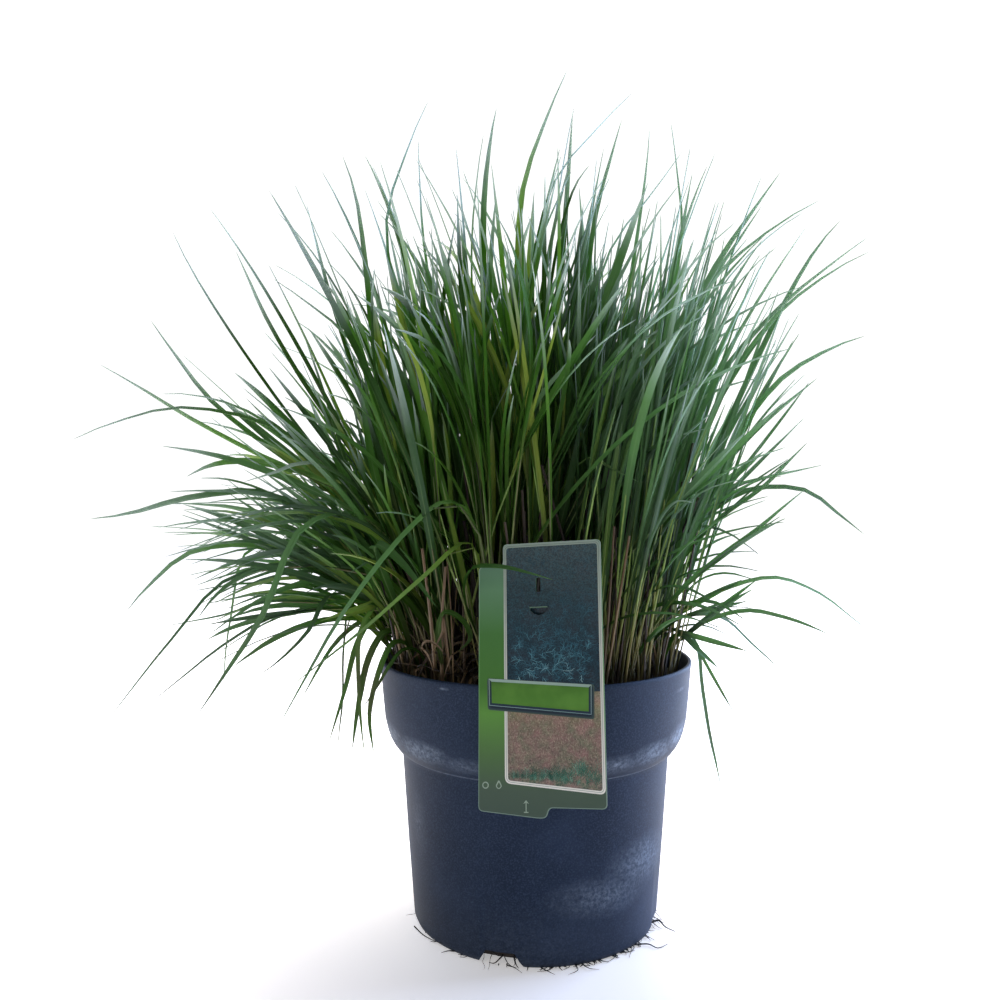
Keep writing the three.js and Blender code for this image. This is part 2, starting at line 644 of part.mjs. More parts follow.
dryPlaces.forEach((place, n) => {
  const random = seeded(300 + n);
  const others = wasm.Manifold.union([
    rootBall,
    ...crowns.filter((_, i) => i !== greenPlaces.length + n),
  ]);
  const straws = [];
  feetOn(place, DRY_CROWN_RADIUS, STRAWS_PER_TUFT).forEach((foot) => {
    for (let attempt = 0; attempt < TRIES; attempt++) {
      const turn = random() * 2 * Math.PI;
      const lean = random() * 0.3;
      const height = 30 + random() ** 2 * 110;
      const top = foot
        .clone()
        .add(v3(Math.cos(turn) * lean * height, Math.sin(turn) * lean * height, height));
      const radius = 1 + random() * 0.6;
      const fat = strawSolid(foot, top, radius + LEAF_CLEARANCE * 1.5);
      if (!fat.intersect(placed).isEmpty() || !fat.intersect(others).isEmpty()) continue;
      const straw = strawSolid(foot, top, radius);
      straws.push(straw);
      placed = placed.add(straw);
      return;
    }
  });
  const solid = wasm.Manifold.union([dryCrowns[n], ...straws]);
  addMesh('dry_tuft_' + String(n + 1).padStart(2, '0'), solid, strawFinish);
});

export default part;
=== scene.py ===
import random
from functools import partial
from math import copysign, cos, hypot, pi, radians, sin, sqrt, tau

import bmesh
import bpy
from mathutils import Matrix, Quaternion, Vector, noise


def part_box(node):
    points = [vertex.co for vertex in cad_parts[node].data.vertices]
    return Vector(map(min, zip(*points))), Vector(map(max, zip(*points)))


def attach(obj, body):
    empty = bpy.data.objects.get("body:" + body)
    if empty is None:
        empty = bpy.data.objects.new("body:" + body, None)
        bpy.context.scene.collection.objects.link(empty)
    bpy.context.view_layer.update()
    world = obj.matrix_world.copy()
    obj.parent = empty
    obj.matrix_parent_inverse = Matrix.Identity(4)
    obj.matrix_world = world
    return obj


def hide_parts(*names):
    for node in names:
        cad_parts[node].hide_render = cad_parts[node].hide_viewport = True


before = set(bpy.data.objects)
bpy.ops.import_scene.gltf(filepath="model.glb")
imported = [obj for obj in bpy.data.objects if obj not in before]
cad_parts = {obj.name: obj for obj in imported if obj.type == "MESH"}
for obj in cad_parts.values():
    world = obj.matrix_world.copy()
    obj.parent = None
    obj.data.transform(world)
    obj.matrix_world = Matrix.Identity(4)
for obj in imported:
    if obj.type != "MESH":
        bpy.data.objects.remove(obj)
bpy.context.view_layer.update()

# ---------------------------------------------------------------- nursery pot
# A round plant container with a wide collar, injection moulded from recycled polypropylene.
# It stands on a foot ring with four drain notches. Handling and stacking have rubbed the widest
# edge under the collar pale.
MM = 0.001
POT_SIDES = 144
pot_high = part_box("pot")[1]
RIM_RADIUS = pot_high.x / MM
POT_HEIGHT = pot_high.z / MM
SHOULDER_HEIGHT = 131.5
EDGE_ROUNDING = 0.35
SHARP_EDGE = 32
POT_SMOOTHING = 34
LATHE_WELD = 0.01
FOOT_OUTER = 90.5
NOTCHES = 4
NOTCH_START = radians(-107)
NOTCH_HEIGHT = 10.5
NOTCH_SINK = 3.0
NOTCH_HALF_WIDTHS = (18.5, 10.5)
NOTCH_MIDDLE_RADIUS = 90.0
NOTCH_DEPTH = 22.0

POT_OUTLINE = [
    (0, 0), (20, 0), (21.5, 2), (80, 2), (82, 0), (FOOT_OUTER, 0), (92.4, 1.4), (94, 5),
    (98.6, 66), (102.8, 128), (103.2, SHOULDER_HEIGHT - 0.8), (103.7, SHOULDER_HEIGHT),
    (104.6, SHOULDER_HEIGHT + 0.5), (107.3, 134.2), (110.1, 138), (112.5, 142.6), (114.2, 147.6),
    (115.4, 152.4), (116.3, 157), (118.1, 176), (RIM_RADIUS - 0.4, 195.5), (RIM_RADIUS, 197),
    (RIM_RADIUS, POT_HEIGHT - 0.9), (RIM_RADIUS - 0.7, POT_HEIGHT), (117.7, POT_HEIGHT),
    (117.1, 198.6), (114.2, 153.5), (111.2, 145.5), (101.2, 132.3), (92.7, 10), (88, 4.2), (0, 4.2),
]


def polar(radius, turn, height=0.0):
    """The place at a radius, a turn round the upright axis and a height."""
    return Vector((radius * cos(turn), radius * sin(turn), height))


def select_only(piece):
    bpy.ops.object.select_all(action="DESELECT")
    piece.select_set(True)
    bpy.context.view_layer.objects.active = piece


def weld(distance):
    """Joins the doubled points of the mesh that is being edited and turns its faces outwards."""
    bpy.ops.mesh.select_all(action="SELECT")
    bpy.ops.mesh.remove_doubles(threshold=distance)
    bpy.ops.mesh.normals_make_consistent(inside=False)
    bpy.ops.object.mode_set(mode="OBJECT")


def lathe(name, outline, sides):
    """A closed body turned about the upright axis from its half outline in millimetres."""
    bpy.ops.mesh.primitive_plane_add(size=MM)
    piece = bpy.context.active_object
    piece.name = name
    bpy.ops.object.mode_set(mode="EDIT")
    bpy.ops.mesh.select_all(action="SELECT")
    bpy.ops.mesh.merge(type="CENTER")
    places = [Vector((radius, 0, height)) * MM for radius, height in outline]
    bpy.ops.transform.translate(value=places[0])
    for before, after in zip(places, places[1:]):
        bpy.ops.mesh.extrude_region_move(TRANSFORM_OT_translate={"value": after - before})
    bpy.ops.mesh.select_all(action="SELECT")
    bpy.ops.mesh.spin(steps=sides, angle=tau, center=(0, 0, 0), axis=(0, 0, 1))
    weld(LATHE_WELD * MM)
    return piece


def apply_modifier(piece, kind, **settings):
    select_only(piece)
    modifier = piece.modifiers.new(kind.title(), kind)
    for key, value in settings.items():
        setattr(modifier, key, value)
    bpy.ops.object.modifier_apply(modifier=modifier.name)


def settle(piece):
    """Puts the object's place, turn and size into its mesh."""
    select_only(piece)
    bpy.ops.object.transform_apply(location=True, rotation=True, scale=True)


def join(pieces, name):
    select_only(pieces[0])
    for piece in pieces:
        piece.select_set(True)
    bpy.ops.object.join()
    pieces[0].name = name
    return pieces[0]


pot = lathe("nursery_pot", POT_OUTLINE, POT_SIDES)

cutters = []
for index in range(NOTCHES):
    bpy.ops.mesh.primitive_cube_add(size=1)
    cutter = bpy.context.active_object
    for vertex in cutter.data.vertices:
        upper = vertex.co.z > 0
        half = copysign(NOTCH_HALF_WIDTHS[upper], vertex.co.y)
        radius = NOTCH_MIDDLE_RADIUS + NOTCH_DEPTH * vertex.co.x
        vertex.co = Vector((radius * MM, half * MM, (NOTCH_HEIGHT if upper else -NOTCH_SINK) * MM))
    cutter.rotation_euler.z = NOTCH_START + index * tau / NOTCHES
    settle(cutter)
    cutters.append(cutter)
cutter = join(cutters, "notch_cutters")
apply_modifier(pot, "BOOLEAN", operation="DIFFERENCE", object=cutter, solver="EXACT")
bpy.data.objects.remove(cutter)
apply_modifier(
    pot, "BEVEL", width=EDGE_ROUNDING * MM, segments=2, limit_method="ANGLE", angle_limit=radians(SHARP_EDGE)
)


def linear(colour):
    """An sRGB hex colour as Blender's linear RGBA."""
    parts = [int(colour[i:i + 2], 16) / 255 for i in (1, 3, 5)]
    return [c / 12.92 if c <= 0.04045 else ((c + 0.055) / 1.055) ** 2.4 for c in parts] + [1.0]


def feed(material, node, inputs):
    """Sets a node's inputs to values, or links them to sockets or to other nodes' first outputs."""
    for key, value in inputs.items():
        if isinstance(value, bpy.types.Node):
            value = next(socket for socket in value.outputs if socket.enabled)
        if isinstance(value, bpy.types.NodeSocket):
            material.node_tree.links.new(value, node.inputs[key])
        else:
            node.inputs[key].default_value = value


def add_node(material, kind, inputs=None, stops=None, **settings):
    """A shader node with its settings, its inputs, and a ramp's colour stops."""
    node = material.node_tree.nodes.new("ShaderNode" + kind)
    for key, value in settings.items():
        setattr(node, key, value)
    feed(material, node, inputs or {})
    if stops:
        elements = node.color_ramp.elements
        while len(elements) < len(stops):
            elements.new(1.0)
        for element, (place, colour) in zip(elements, stops):
            element.position = place
            element.color = linear(colour) if isinstance(colour, str) else (colour, colour, colour, 1)
    return node


def new_material(name, inputs):
    """A material, its Principled shader with these inputs, and the function that adds its nodes."""
    material = bpy.data.materials.new(name)
    material.use_nodes = True
    shader = material.node_tree.nodes["Principled BSDF"]
    feed(material, shader, inputs)
    return material, shader, partial(add_node, material)


def finish_piece(piece, slot, *nodes, skin=None, smooth=None):
    """The piece rides with the plant, takes its finish from skin, if given, and stands for these nodes. Its
    edges are smooth up to an angle in degrees. Its slot is not used."""
    if skin:
        piece.data.materials.append(skin)
    if smooth:
        select_only(piece)
        bpy.ops.object.shade_smooth_by_angle(angle=radians(smooth))
    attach(piece, "root")
    if nodes:
        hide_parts(*nodes)


# Recycled polypropylene is slightly glossy and blue-black, with a fine sandy mould texture.
polypropylene, shader, add = new_material("moulded recycled polypropylene", {
    "Specular Tint": linear("#A8C4F8"), "IOR": 1.49, "Specular IOR Level": 0.17,
})
place = add("TexCoord").outputs["Object"]
height = add("SeparateXYZ", {"Vector": place}).outputs["Z"]
clouds = add("TexNoise", {"Vector": place, "Scale": 16.0, "Detail": 5.0})
base = add("ValToRGB", {"Fac": clouds}, [(0.3, "#19212E"), (0.55, "#202938"), (0.75, "#2A3446")])
# Rubbed spots: degrees round the pot, height, half length round it, half height, and strength.
RUBBED = [
    (-160, 149, 28, 11, 0.7), (-138, 146, 34, 10, 0.7), (-116, 142, 30, 7, 0.35), (-62, 143, 26, 8, 0.5),
    (-44, 146, 28, 10, 0.8), (-26, 151, 26, 11, 0.9), (12, 150, 30, 7, 0.5), (58, 148, 40, 8, 0.6),
    (104, 149, 26, 8, 0.6), (150, 148, 34, 8, 0.6), (-62, 48, 52, 18, 0.42), (-40, 64, 44, 22, 0.46),
    (88, 40, 44, 18, 0.3), (-150, 86, 14, 30, 0.15), (-30, 186, 12, 2, 0.3), (-123, 195, 5, 1.2, 0.6),
    (-95, 12, 100, 40, 0.09),
]
RUB_DEPTH = 30.0
WALL_RADIUS, COLLAR_RADIUS = 98, 115
wear = None
for degrees, level, half_length, half_height, strength in RUBBED:
    turn = radians(degrees)
    centre = polar(WALL_RADIUS if level < SHOULDER_HEIGHT else COLLAR_RADIUS, turn, level) * MM
    spot = add(
        "Mapping",
        {"Vector": place, "Location": centre, "Rotation": (0, 0, turn),
         "Scale": Vector((RUB_DEPTH, half_length, half_height)) * MM},
        vector_type="TEXTURE",
    )
    away = add("VectorMath", {0: spot}, operation="LENGTH")
    near = add("MapRange", {"Value": away, "From Min": 1.0, "From Max": 0.1, "To Max": strength})
    wear = near if wear is None else add("Math", {0: wear, 1: near}, operation="MAXIMUM")
# The rubbing is broken up by smears a few millimetres long and by grit.
stretched = add("Mapping", {"Vector": place, "Scale": (1.0, 1.0, 3.0)})
smears = add("TexNoise", {"Vector": stretched, "Scale": 105.0, "Detail": 8.0})
smear_mask = add("ValToRGB", {"Fac": smears}, [(0.3, 0.42), (0.68, 1.0)])
grit = add("TexNoise", {"Vector": place, "Scale": 380.0, "Detail": 4.0, "Roughness": 0.7})
grit_mask = add("ValToRGB", {"Fac": grit}, [(0.38, 0.2), (0.64, 1.0)])
smeared = add("Math", {0: wear, 1: smear_mask}, operation="MULTIPLY")
# The crease where the wall meets the flare is painted with a fine pale line, a painted highlight.
from_crease = add("Math", {0: height, 1: (SHOULDER_HEIGHT + 0.2) * MM}, operation="SUBTRACT")
crease_gap = add("Math", {0: from_crease}, operation="ABSOLUTE")
crease = add("MapRange", {"Value": crease_gap, "From Min": 0.9 * MM, "From Max": 0.2 * MM, "To Max": 0.4})
wear_and_crease_highlight = add("Math", {0: smeared, 1: crease}, operation="MAXIMUM")
gritty_wear_and_highlight = add("Math", {0: wear_and_crease_highlight, 1: grit_mask}, operation="MULTIPLY")
# The mould's fine grain catches the light as specks about a millimetre wide, coarse enough to show.
specks = add("TexNoise", {"Vector": place, "Scale": 900.0, "Detail": 3.0})
speck_share = add("MapRange", {"Value": specks, "From Min": 0.45, "From Max": 0.8, "To Max": 0.36})
speckled = add("Mix", {"Factor": speck_share, "A": base, "B": linear("#46546C")}, data_type="RGBA")
# The pale colour paints both the rubbed wear and the painted highlight along the crease.
worn_and_highlit = add("Mix", {"Factor": gritty_wear_and_highlight, "A": speckled, "B": linear("#92A0B2")}, data_type="RGBA")
roughness = add("MapRange", {"Value": clouds, "To Min": 0.46, "To Max": 0.66})
bump = add("Bump", {"Height": specks, "Strength": 0.15, "Distance": 0.3 * MM})
feed(polypropylene, shader, {"Base Color": worn_and_highlit, "Roughness": roughness, "Normal": bump})
finish_piece(pot, "pot", "pot", skin=polypropylene, smooth=POT_SMOOTHING)

# ---------------------------------------------------------------- compost
# Peat and bark compost, knitted by roots into a ball of the pot's inside shape. Its top is
# uneven and covered with loose crumbs a few millimetres across.
SOIL_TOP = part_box("root_ball")[1].z / MM
CRUMBS = 1500
CRUMB_RADII = (0.7, 2.6)
CRUMB_REACH = 114
SOIL_RINGS = 26
SOIL_SIDES = 96
SOIL_INSIDE = 114.6

soil_outline = [
    (0, 4.5), (87.8, 4.5), (92.2, 10), (100.7, 128.8), (110.6, 142), (113.6, 150), (115.4, SOIL_TOP - 1),
]
soil_outline += [(SOIL_INSIDE * (1 - i / SOIL_RINGS), SOIL_TOP) for i in range(SOIL_RINGS + 1)]
compost = lathe("compost", soil_outline, SOIL_SIDES)
for vertex in compost.data.vertices:
    if vertex.co.z > (SOIL_TOP - 0.5) * MM:
        swell = noise.noise(vertex.co * 60) * 2.2 + noise.noise(vertex.co * 240) * 1.6
        vertex.co.z += swell * MM

# Each group draws its places and sizes from a fixed seed of its own.
draw = random.Random(11)


def merged(name, parts):
    """One mesh object from several (points, faces, values), with values kept as the 'grain' attribute."""
    points, faces, values = [], [], []
    for part_points, part_faces, part_values in parts:
        first = len(points)
        points += part_points
        faces += [[first + i for i in face] for face in part_faces]
        values += part_values
    mesh = bpy.data.meshes.new(name)
    mesh.from_pydata(points, [], faces)
    grain = mesh.attributes.new("grain", "FLOAT_VECTOR", "POINT")
    grain.data.foreach_set("vector", [c for value in values for c in value])
    piece = bpy.data.objects.new(name, mesh)
    bpy.context.collection.objects.link(piece)
    return piece


# The crumbs start from an icosahedron.
bpy.ops.mesh.primitive_ico_sphere_add(subdivisions=1, radius=1)
pebble = bpy.context.active_object
PEBBLE_POINTS = [vertex.co.copy() for vertex in pebble.data.vertices]
PEBBLE_FACES = [list(polygon.vertices) for polygon in pebble.data.polygons]
bpy.data.objects.remove(pebble)


def crumb(centre, radius, spread):
    """A knobbly crumb, turned and stretched by chance."""
    turn = Quaternion((spread.random() - 0.5, spread.random() - 0.5, 1), spread.random() * tau)
    stretch = Vector((spread.uniform(0.7, 1.5), spread.uniform(0.6, 1.1), spread.uniform(0.4, 0.9)))
    knobs = [radius * spread.uniform(0.75, 1.2) for _ in PEBBLE_POINTS]
    points = [centre + turn @ (point * stretch) * knob for point, knob in zip(PEBBLE_POINTS, knobs)]
    return points, PEBBLE_FACES, [(spread.random(), 0, 0)] * len(points)


crumbs = []
for _ in range(CRUMBS):
    radius, turn = CRUMB_REACH * sqrt(draw.random()), draw.random() * tau
    size = CRUMB_RADII[0] + (CRUMB_RADII[1] - CRUMB_RADII[0]) * draw.random() ** 2.5
    centre = polar(radius, turn, SOIL_TOP + 0.4 * size) * MM
    crumbs.append(crumb(centre, size * MM, draw))
compost_crumbs = merged("compost_crumbs", crumbs)

peat, shader, add = new_material("damp peat and bark compost", {"Roughness": 0.95})
place = add("TexCoord").outputs["Object"]
specks = add("TexNoise", {"Vector": place, "Scale": 320.0, "Detail": 6.0})
grain = add("Attribute", attribute_name="grain").outputs["Vector"]
tint = add("SeparateXYZ", {"Vector": grain}).outputs["X"]
tint_share = add("Math", {0: tint, 1: 0.35}, operation="MULTIPLY")
mixed = add("Math", {0: specks, 1: tint_share}, operation="ADD")
soil_colour = add("ValToRGB", {"Fac": mixed}, [(0.35, "#120D0A"), (0.6, "#231A14"), (0.85, "#3A2C20")])
soil_bump = add("Bump", {"Height": specks, "Strength": 0.6, "Distance": 1.0 * MM})
feed(peat, shader, {"Base Color": soil_colour, "Normal": soil_bump})
finish_piece(compost, "compost", "root_ball", skin=peat)
finish_piece(compost_crumbs, "compost", skin=peat)

# ---------------------------------------------------------------- roots
# One thick root circles on the pot's floor at the foot of the root ball, and fine dark ends push
# out of the notches and from under the foot ring, and lie on the table.
ROOT_RING_RADIUS = 85.0
ROOT_HEIGHT = 5.2
RING_STEPS = 72
RING_THICKNESS = 1.7
KNOT_SWELL = 1.25
WISPS = 30
CURB_ENDS = 70
UP = Vector((0, 0, 1))
draw = random.Random(23)


def on_line(points, stations, t):
    """The place at t on a smooth line through points at uneven stations."""
    k = max(i for i in range(len(stations) - 1) if stations[i] <= t or i == 0)
    a, b = points[k], points[k + 1]
    span = stations[k + 1] - stations[k]
    share = (t - stations[k]) / span

    def slope(i):
        low, high = max(i - 1, 0), min(i + 1, len(points) - 1)
        return (points[high] - points[low]) / (stations[high] - stations[low])

    start, end = slope(k) * span, slope(k + 1) * span
    s2, s3 = share ** 2, share ** 3
    bends = start * (s3 - 2 * s2 + share) + end * (s3 - s2)
    return a * (2 * s3 - 3 * s2 + 1) + b * (3 * s2 - 2 * s3) + bends


def smooth_line(points, steps):
    """Points at even steps on a smooth line through the given ones."""
    last = len(points) - 1
    return [on_line(points, range(last + 1), i / steps * last) for i in range(steps + 1)]


def tube(line, thick, thin, sides, tone=0, green=0, knot=None, closed=False):
    """A closed tube along a line, tapering from one radius in metres to another, perhaps with a
    thicker knot at one of its points."""
    points, faces, values = [], [], []
    side = None
    for i, centre in enumerate(line):
        ahead = line[(i + 1) % len(line)] if closed else line[min(i + 1, len(line) - 1)]
        behind = line[i - 1] if closed else line[max(i - 1, 0)]
        forward = (ahead - behind).normalized()
        if side is None:
            side = forward.orthogonal().normalized()
        side = (side - forward * side.dot(forward)).normalized()
        other = forward.cross(side)
        along = i / (len(line) - 1)
        radius = (thick + (thin - thick) * along) * (KNOT_SWELL if i == knot else 1)
        for j in range(sides):
            angle = j * tau / sides
            points.append(centre + (side * cos(angle) + other * sin(angle)) * radius)
            values.append((tone, along, green))
    rings = len(line) if closed else len(line) - 1
    for i in range(rings):
        a, b = i * sides, (i + 1) % len(line) * sides
        for j in range(sides):
            k = (j + 1) % sides
            faces.append([a + j, a + k, b + k, b + j])
    if not closed:
        faces.append(list(range(sides))[::-1])
        faces.append([(len(line) - 1) * sides + j for j in range(sides)])
    return points, faces, values


def root_line(turn, reach, curl, lift, spread):
    """A root end that leaves a notch, bends down to the table and curls sideways."""
    heading = polar(1, turn)
    across = Vector((-heading.y, heading.x, 0))
    points = []
    for i in range(6):
        t = i / 5
        radius = ROOT_RING_RADIUS + reach * t
        height = ROOT_HEIGHT * (1 - t) ** 1.5 + 0.7 + lift * sin(pi * t)
        wiggle = across * (curl * t ** 2 + spread.uniform(-1, 1) * 1.6 * t)
        points.append((heading * radius + wiggle + UP * height) * MM)
    return smooth_line(points, 14)


ring_points = []
for i in range(RING_STEPS):
    turn = i * tau / RING_STEPS
    radius = ROOT_RING_RADIUS + 1.2 * sin(5 * turn) + 0.8 * sin(11 * turn + 1)
    ring_points.append(polar(radius, turn, ROOT_HEIGHT + 0.5 * sin(7 * turn)) * MM)
# The thicker ends: radius, then the way each takes from under the pot, in millimetres.
ROOT_ENDS = [
    (1.1, [(80, -25, 6), (86, -29, 3.2), (93, -26.5, 3.4), (96.5, -34, 2), (103, -39, 0.8)]),
    (0.5, [(78, -34, 3), (83, -38.5, 1.5), (88, -37.5, 0.6)]),
    (0.7, [(74, -41, 4), (79, -45.5, 1.4), (83, -53, 0.7)]),
    (0.8, [(64, -58, 3), (71, -60, 1.6), (80, -59, 1.1), (86, -64.5, 0.9), (94, -58.5, 0.8)]),
    (0.5, [(62, -60, 3), (69, -63, 1.2), (66, -70, 0.8), (63.5, -78, 0.6)]),
    (0.5, [(-92, -30, 0.6), (-83.5, -45, 0.8), (-72, -60, 2.8), (-64, -67, 5)]),
    (0.8, [(-50, -68, 5), (-58, -71, 2.2), (-64, -69, 1.1), (-69, -71, 0.8)]),
    (0.5, [(-46, -74, 4), (-51, -77, 1), (-56, -77, 0.6)]),
    (0.7, [(-33, -80, 7), (-32, -87, 9), (-28.5, -89, 7.6), (-26, -86, 6.2)]),
    (0.8, [(-22, -80, 7), (-26.6, -88, 6), (-31, -88, 2), (-35, -85, 0.9)]),
    (1.0, [(-15, -80, 7), (-17.4, -91, 8), (-16.4, -93.5, 4), (-14.5, -93, 0.9)]),
    (0.5, [(12, -88, 1), (6, -95, 0.7), (-2, -97, 0.6)]),
    (0.5, [(1, -92, 0.7), (5, -97, 1.1), (10, -101, 0.6)]),
    (0.45, [(24, -86, 1), (26, -95, 0.7), (19, -101, 0.5)]),
    (0.45, [(28, -85, 1), (34, -93, 0.9), (41, -94, 0.6)]),
    (0.5, [(52, -74, 1), (53, -79, 1.4), (47, -85, 0.6)]),
]
roots = [tube(ring_points, RING_THICKNESS * MM, RING_THICKNESS * MM, 8, closed=True)]
for thickness, route in ROOT_ENDS:
    line = smooth_line([Vector(place) * MM for place in route], 16)
    roots.append(tube(line, thickness * MM, 0.2 * thickness * MM, 6))
for i in range(WISPS):
    turn = NOTCH_START + draw.randrange(NOTCHES) * tau / NOTCHES
    turn += draw.gauss(0, 0.1 if i % 3 else 0.3)
    line = root_line(turn, draw.uniform(7, 17), draw.gauss(0, 6), draw.random() * 1.2, draw)
    roots.append(tube(line, draw.uniform(0.25, 0.6) * MM, 0.12 * MM, 4))
# Short ends creep out all along the foot's edge, more of them at the front and on the right.
for i in range(CURB_ENDS):
    turn = radians(draw.gauss(-58, 24) if i % 3 else draw.uniform(0, 360))
    heading = polar(1, turn)
    across = Vector((-heading.y, heading.x, 0)) * draw.gauss(0, 3)
    start = heading * (FOOT_OUTER + 0.2) + UP * draw.uniform(0.4, 1.4)
    reach = draw.uniform(1.5, 6)
    middle = start + heading * 0.6 * reach + across * 0.2
    end = start + heading * reach + across
    middle.z, end.z = 0.8, 0.5
    line = smooth_line([start * MM, middle * MM, end * MM], 6)
    roots.append(tube(line, draw.uniform(0.3, 0.7) * MM, 0.15 * MM, 4))

root_skin, shader, add = new_material("dark damp root skin", {"Roughness": 0.8})
place = add("TexCoord").outputs["Object"]
blotches = add("TexNoise", {"Vector": place, "Scale": 180.0, "Detail": 4.0})
root_colour = add("ValToRGB", {"Fac": blotches}, [(0.35, "#0B0B0D"), (0.62, "#1B1716"), (0.8, "#3A3029")])
root_bump = add("Bump", {"Height": blotches, "Strength": 0.4, "Distance": 0.3 * MM})
feed(root_skin, shader, {"Base Color": root_colour, "Normal": root_bump})
finish_piece(merged("drain_roots", roots), "root", "circling_roots", skin=root_skin)

# ---------------------------------------------------------------- plant label
# A die-cut card of printed polypropylene that hooks over the rim by a tongue. The print is a
# green strip, a pale frame round two plain pictures of sprigs and seeds, and a bevelled name plate
# left bare. Each layer of ink is a sheet a hair thick, so that its edges stay crisp.
LABEL_THICKNESS = 0.8
CARD_FACE = LABEL_THICKNESS / 2
INK = 0.05
LABEL_TURN = radians(-18)
LABEL_POSE = (
    Matrix.Translation(Vector((16, -134, 200)) * MM)
    @ Matrix.Rotation(LABEL_TURN, 4, "Z")
    @ Matrix.Rotation(radians(77), 4, "X")
    @ Matrix.Rotation(radians(4.3), 4, "Z")
)
CARD_CORNERS = [
    (-60, 84), (-43, 84), (-43, 98.5), (24, 98.5), (24, -71), (-13, -71), (-15, -77.2), (-20, -77.5),
    (-60, -74),
]
SLOT_CORNERS = [(-20.1, 64), (-17.1, 64), (-17.1, 75), (-20.1, 75)]
TAB_HOLE = [(-24.5, 55), (-12, 55), (-12, 54), (-14.5, 51.2), (-18.2, 50), (-22, 51.2), (-24.5, 54)]
FLAP_TOP = 60
FLAP_LIFT = 1.3
FRAME_CORNERS = [(-42.7, 98.0), (23.6, 98.0), (23.4, -62.4), (-42.0, -56.6)]
FRAME_WIDTH = 2.0
PICTURE_SPLIT = 0.5
PLATE_CORNERS = [(-52.9, 9.4), (15.9, 4.8), (15.5, -13.9), (-52.5, -7.9)]
PLATE_RIM = 0.4
PLATE_BEVEL = 1.4
SHEET_WELD = 0.002
draw = random.Random(5)


def rounded(corners, radius, steps=5):
    """The outline with each corner turned into an arc. Corners are given clockwise."""
    outline = []
    count = len(corners)
    for i, corner in enumerate(corners):
        here = Vector(corner)
        to_last = Vector(corners[i - 1]) - here
        to_next = Vector(corners[(i + 1) % count]) - here
        reach = min(radius, 0.45 * to_last.length, 0.45 * to_next.length)
        start = here + to_last.normalized() * reach
        end = here + to_next.normalized() * reach
        for k in range(steps + 1):
            t = k / steps
            outline.append(start * (1 - t) ** 2 + here * 2 * t * (1 - t) + end * t ** 2)
    return outline


def shrunk(corners, inset):
    """The outline moved inwards by inset on every side."""
    count = len(corners)
    result = []
    for i in range(count):
        here = Vector(corners[i])
        before = (here - Vector(corners[i - 1])).normalized()
        after = (Vector(corners[(i + 1) % count]) - here).normalized()
        inward = Vector((before.y, -before.x)) + Vector((after.y, -after.x))
        result.append(here + inward * (inset / (1 + before.dot(after))))
    return result


def circle(x, y, radius, sides=20):
    """A circle's outline, clockwise like the others."""
    turns = [-k * tau / sides for k in range(sides)]
    return [(x + radius * cos(turn), y + radius * sin(turn)) for turn in turns]


def sheet_of(name, outlines, bottom, top):
    """A flat plate between two heights with the first outline as its edge and the rest as holes."""
    curve = bpy.data.curves.new(name, "CURVE")
    curve.dimensions = "2D"
    curve.fill_mode = "BOTH"
    curve.extrude = (top - bottom) / 2 * MM
    for outline in outlines:
        spline = curve.splines.new("POLY")
        spline.points.add(len(outline) - 1)
        for point, place in zip(spline.points, outline):
            point.co = (place[0] * MM, place[1] * MM, 0, 1)
        spline.use_cyclic_u = True
    piece = bpy.data.objects.new(name, curve)
    bpy.context.collection.objects.link(piece)
    piece.location.z = (top + bottom) / 2 * MM
    select_only(piece)
    bpy.ops.object.convert(target="MESH")
    piece = bpy.context.active_object
    settle(piece)
    bpy.ops.object.mode_set(mode="EDIT")
    weld(SHEET_WELD * MM)
    return piece


def inked(piece, ink):
    """The piece with its print. Each point keeps its place on the flat card, so that printed fades
    follow it once it is tilted."""
    piece.data.materials.append(ink)
    spot = piece.data.attributes.new("print", "FLOAT_VECTOR", "POINT")
    spot.data.foreach_set("vector", [c for vertex in piece.data.vertices for c in vertex.co])
    return piece


def coat(name, outlines, coats, ink):
    """A printed layer on the card's face, as high as so many coats of ink."""
    return inked(sheet_of(name, outlines, CARD_FACE, CARD_FACE + coats * INK), ink)


def cut_at(height, corners, keep_upper):
    """The four-cornered outline above or below a level line."""
    top_left, top_right, low_right, low_left = corners
    share_left = (top_left.y - height) / (top_left.y - low_left.y)
    share_right = (top_right.y - height) / (top_right.y - low_right.y)
    left = top_left.lerp(low_left, share_left)
    right = top_right.lerp(low_right, share_right)
    return [top_left, top_right, right, left] if keep_upper else [left, right, low_right, low_left]


def lens(place, heading, length, width, tint):
    """One printed leaflet or seed: a slim lens, a hair above the picture."""
    ahead = polar(1, heading).xy
    across = Vector((-ahead.y, ahead.x)) * width / 2
    edge = [(0, 0), (0.3, -1), (0.65, -0.8), (1, 0), (0.65, 0.8), (0.3, 1)]
    flat = [place + ahead * length * t + across * side for t, side in edge]
    top, bottom = CARD_FACE + 2 * INK, CARD_FACE + 0.5 * INK
    points = [Vector((p.x, p.y, height)) * MM for height in (bottom, top) for p in flat]
    count = len(flat)
    faces = [list(range(count))[::-1], list(range(count, 2 * count))]
    faces += [[i, (i + 1) % count, (i + 1) % count + count, i + count] for i in range(count)]
    return points, faces, [(tint, 0, 0)] * len(points)


def sprig(place, heading, size, pairs, tint):
    """A printed twig: a thin stem and narrow leaflets to both sides of it."""
    ahead = polar(1, heading).xy
    parts = [lens(place, heading, size, 0.22, tint)]
    for k in range(2 * pairs):
        t = 0.12 + 0.8 * k / (2 * pairs)
        side = 1 if k % 2 else -1
        parts.append(lens(
            place + ahead * size * t, heading + side * (0.8 - 0.3 * t), size * (0.6 - 0.3 * t), 0.17,
            min(1, tint * (0.6 + 0.6 * t)),
        ))
    return parts


def fade(*colours):
    """Colour stops at even steps."""
    return [(i / (len(colours) - 1), colour) for i, colour in enumerate(colours)]


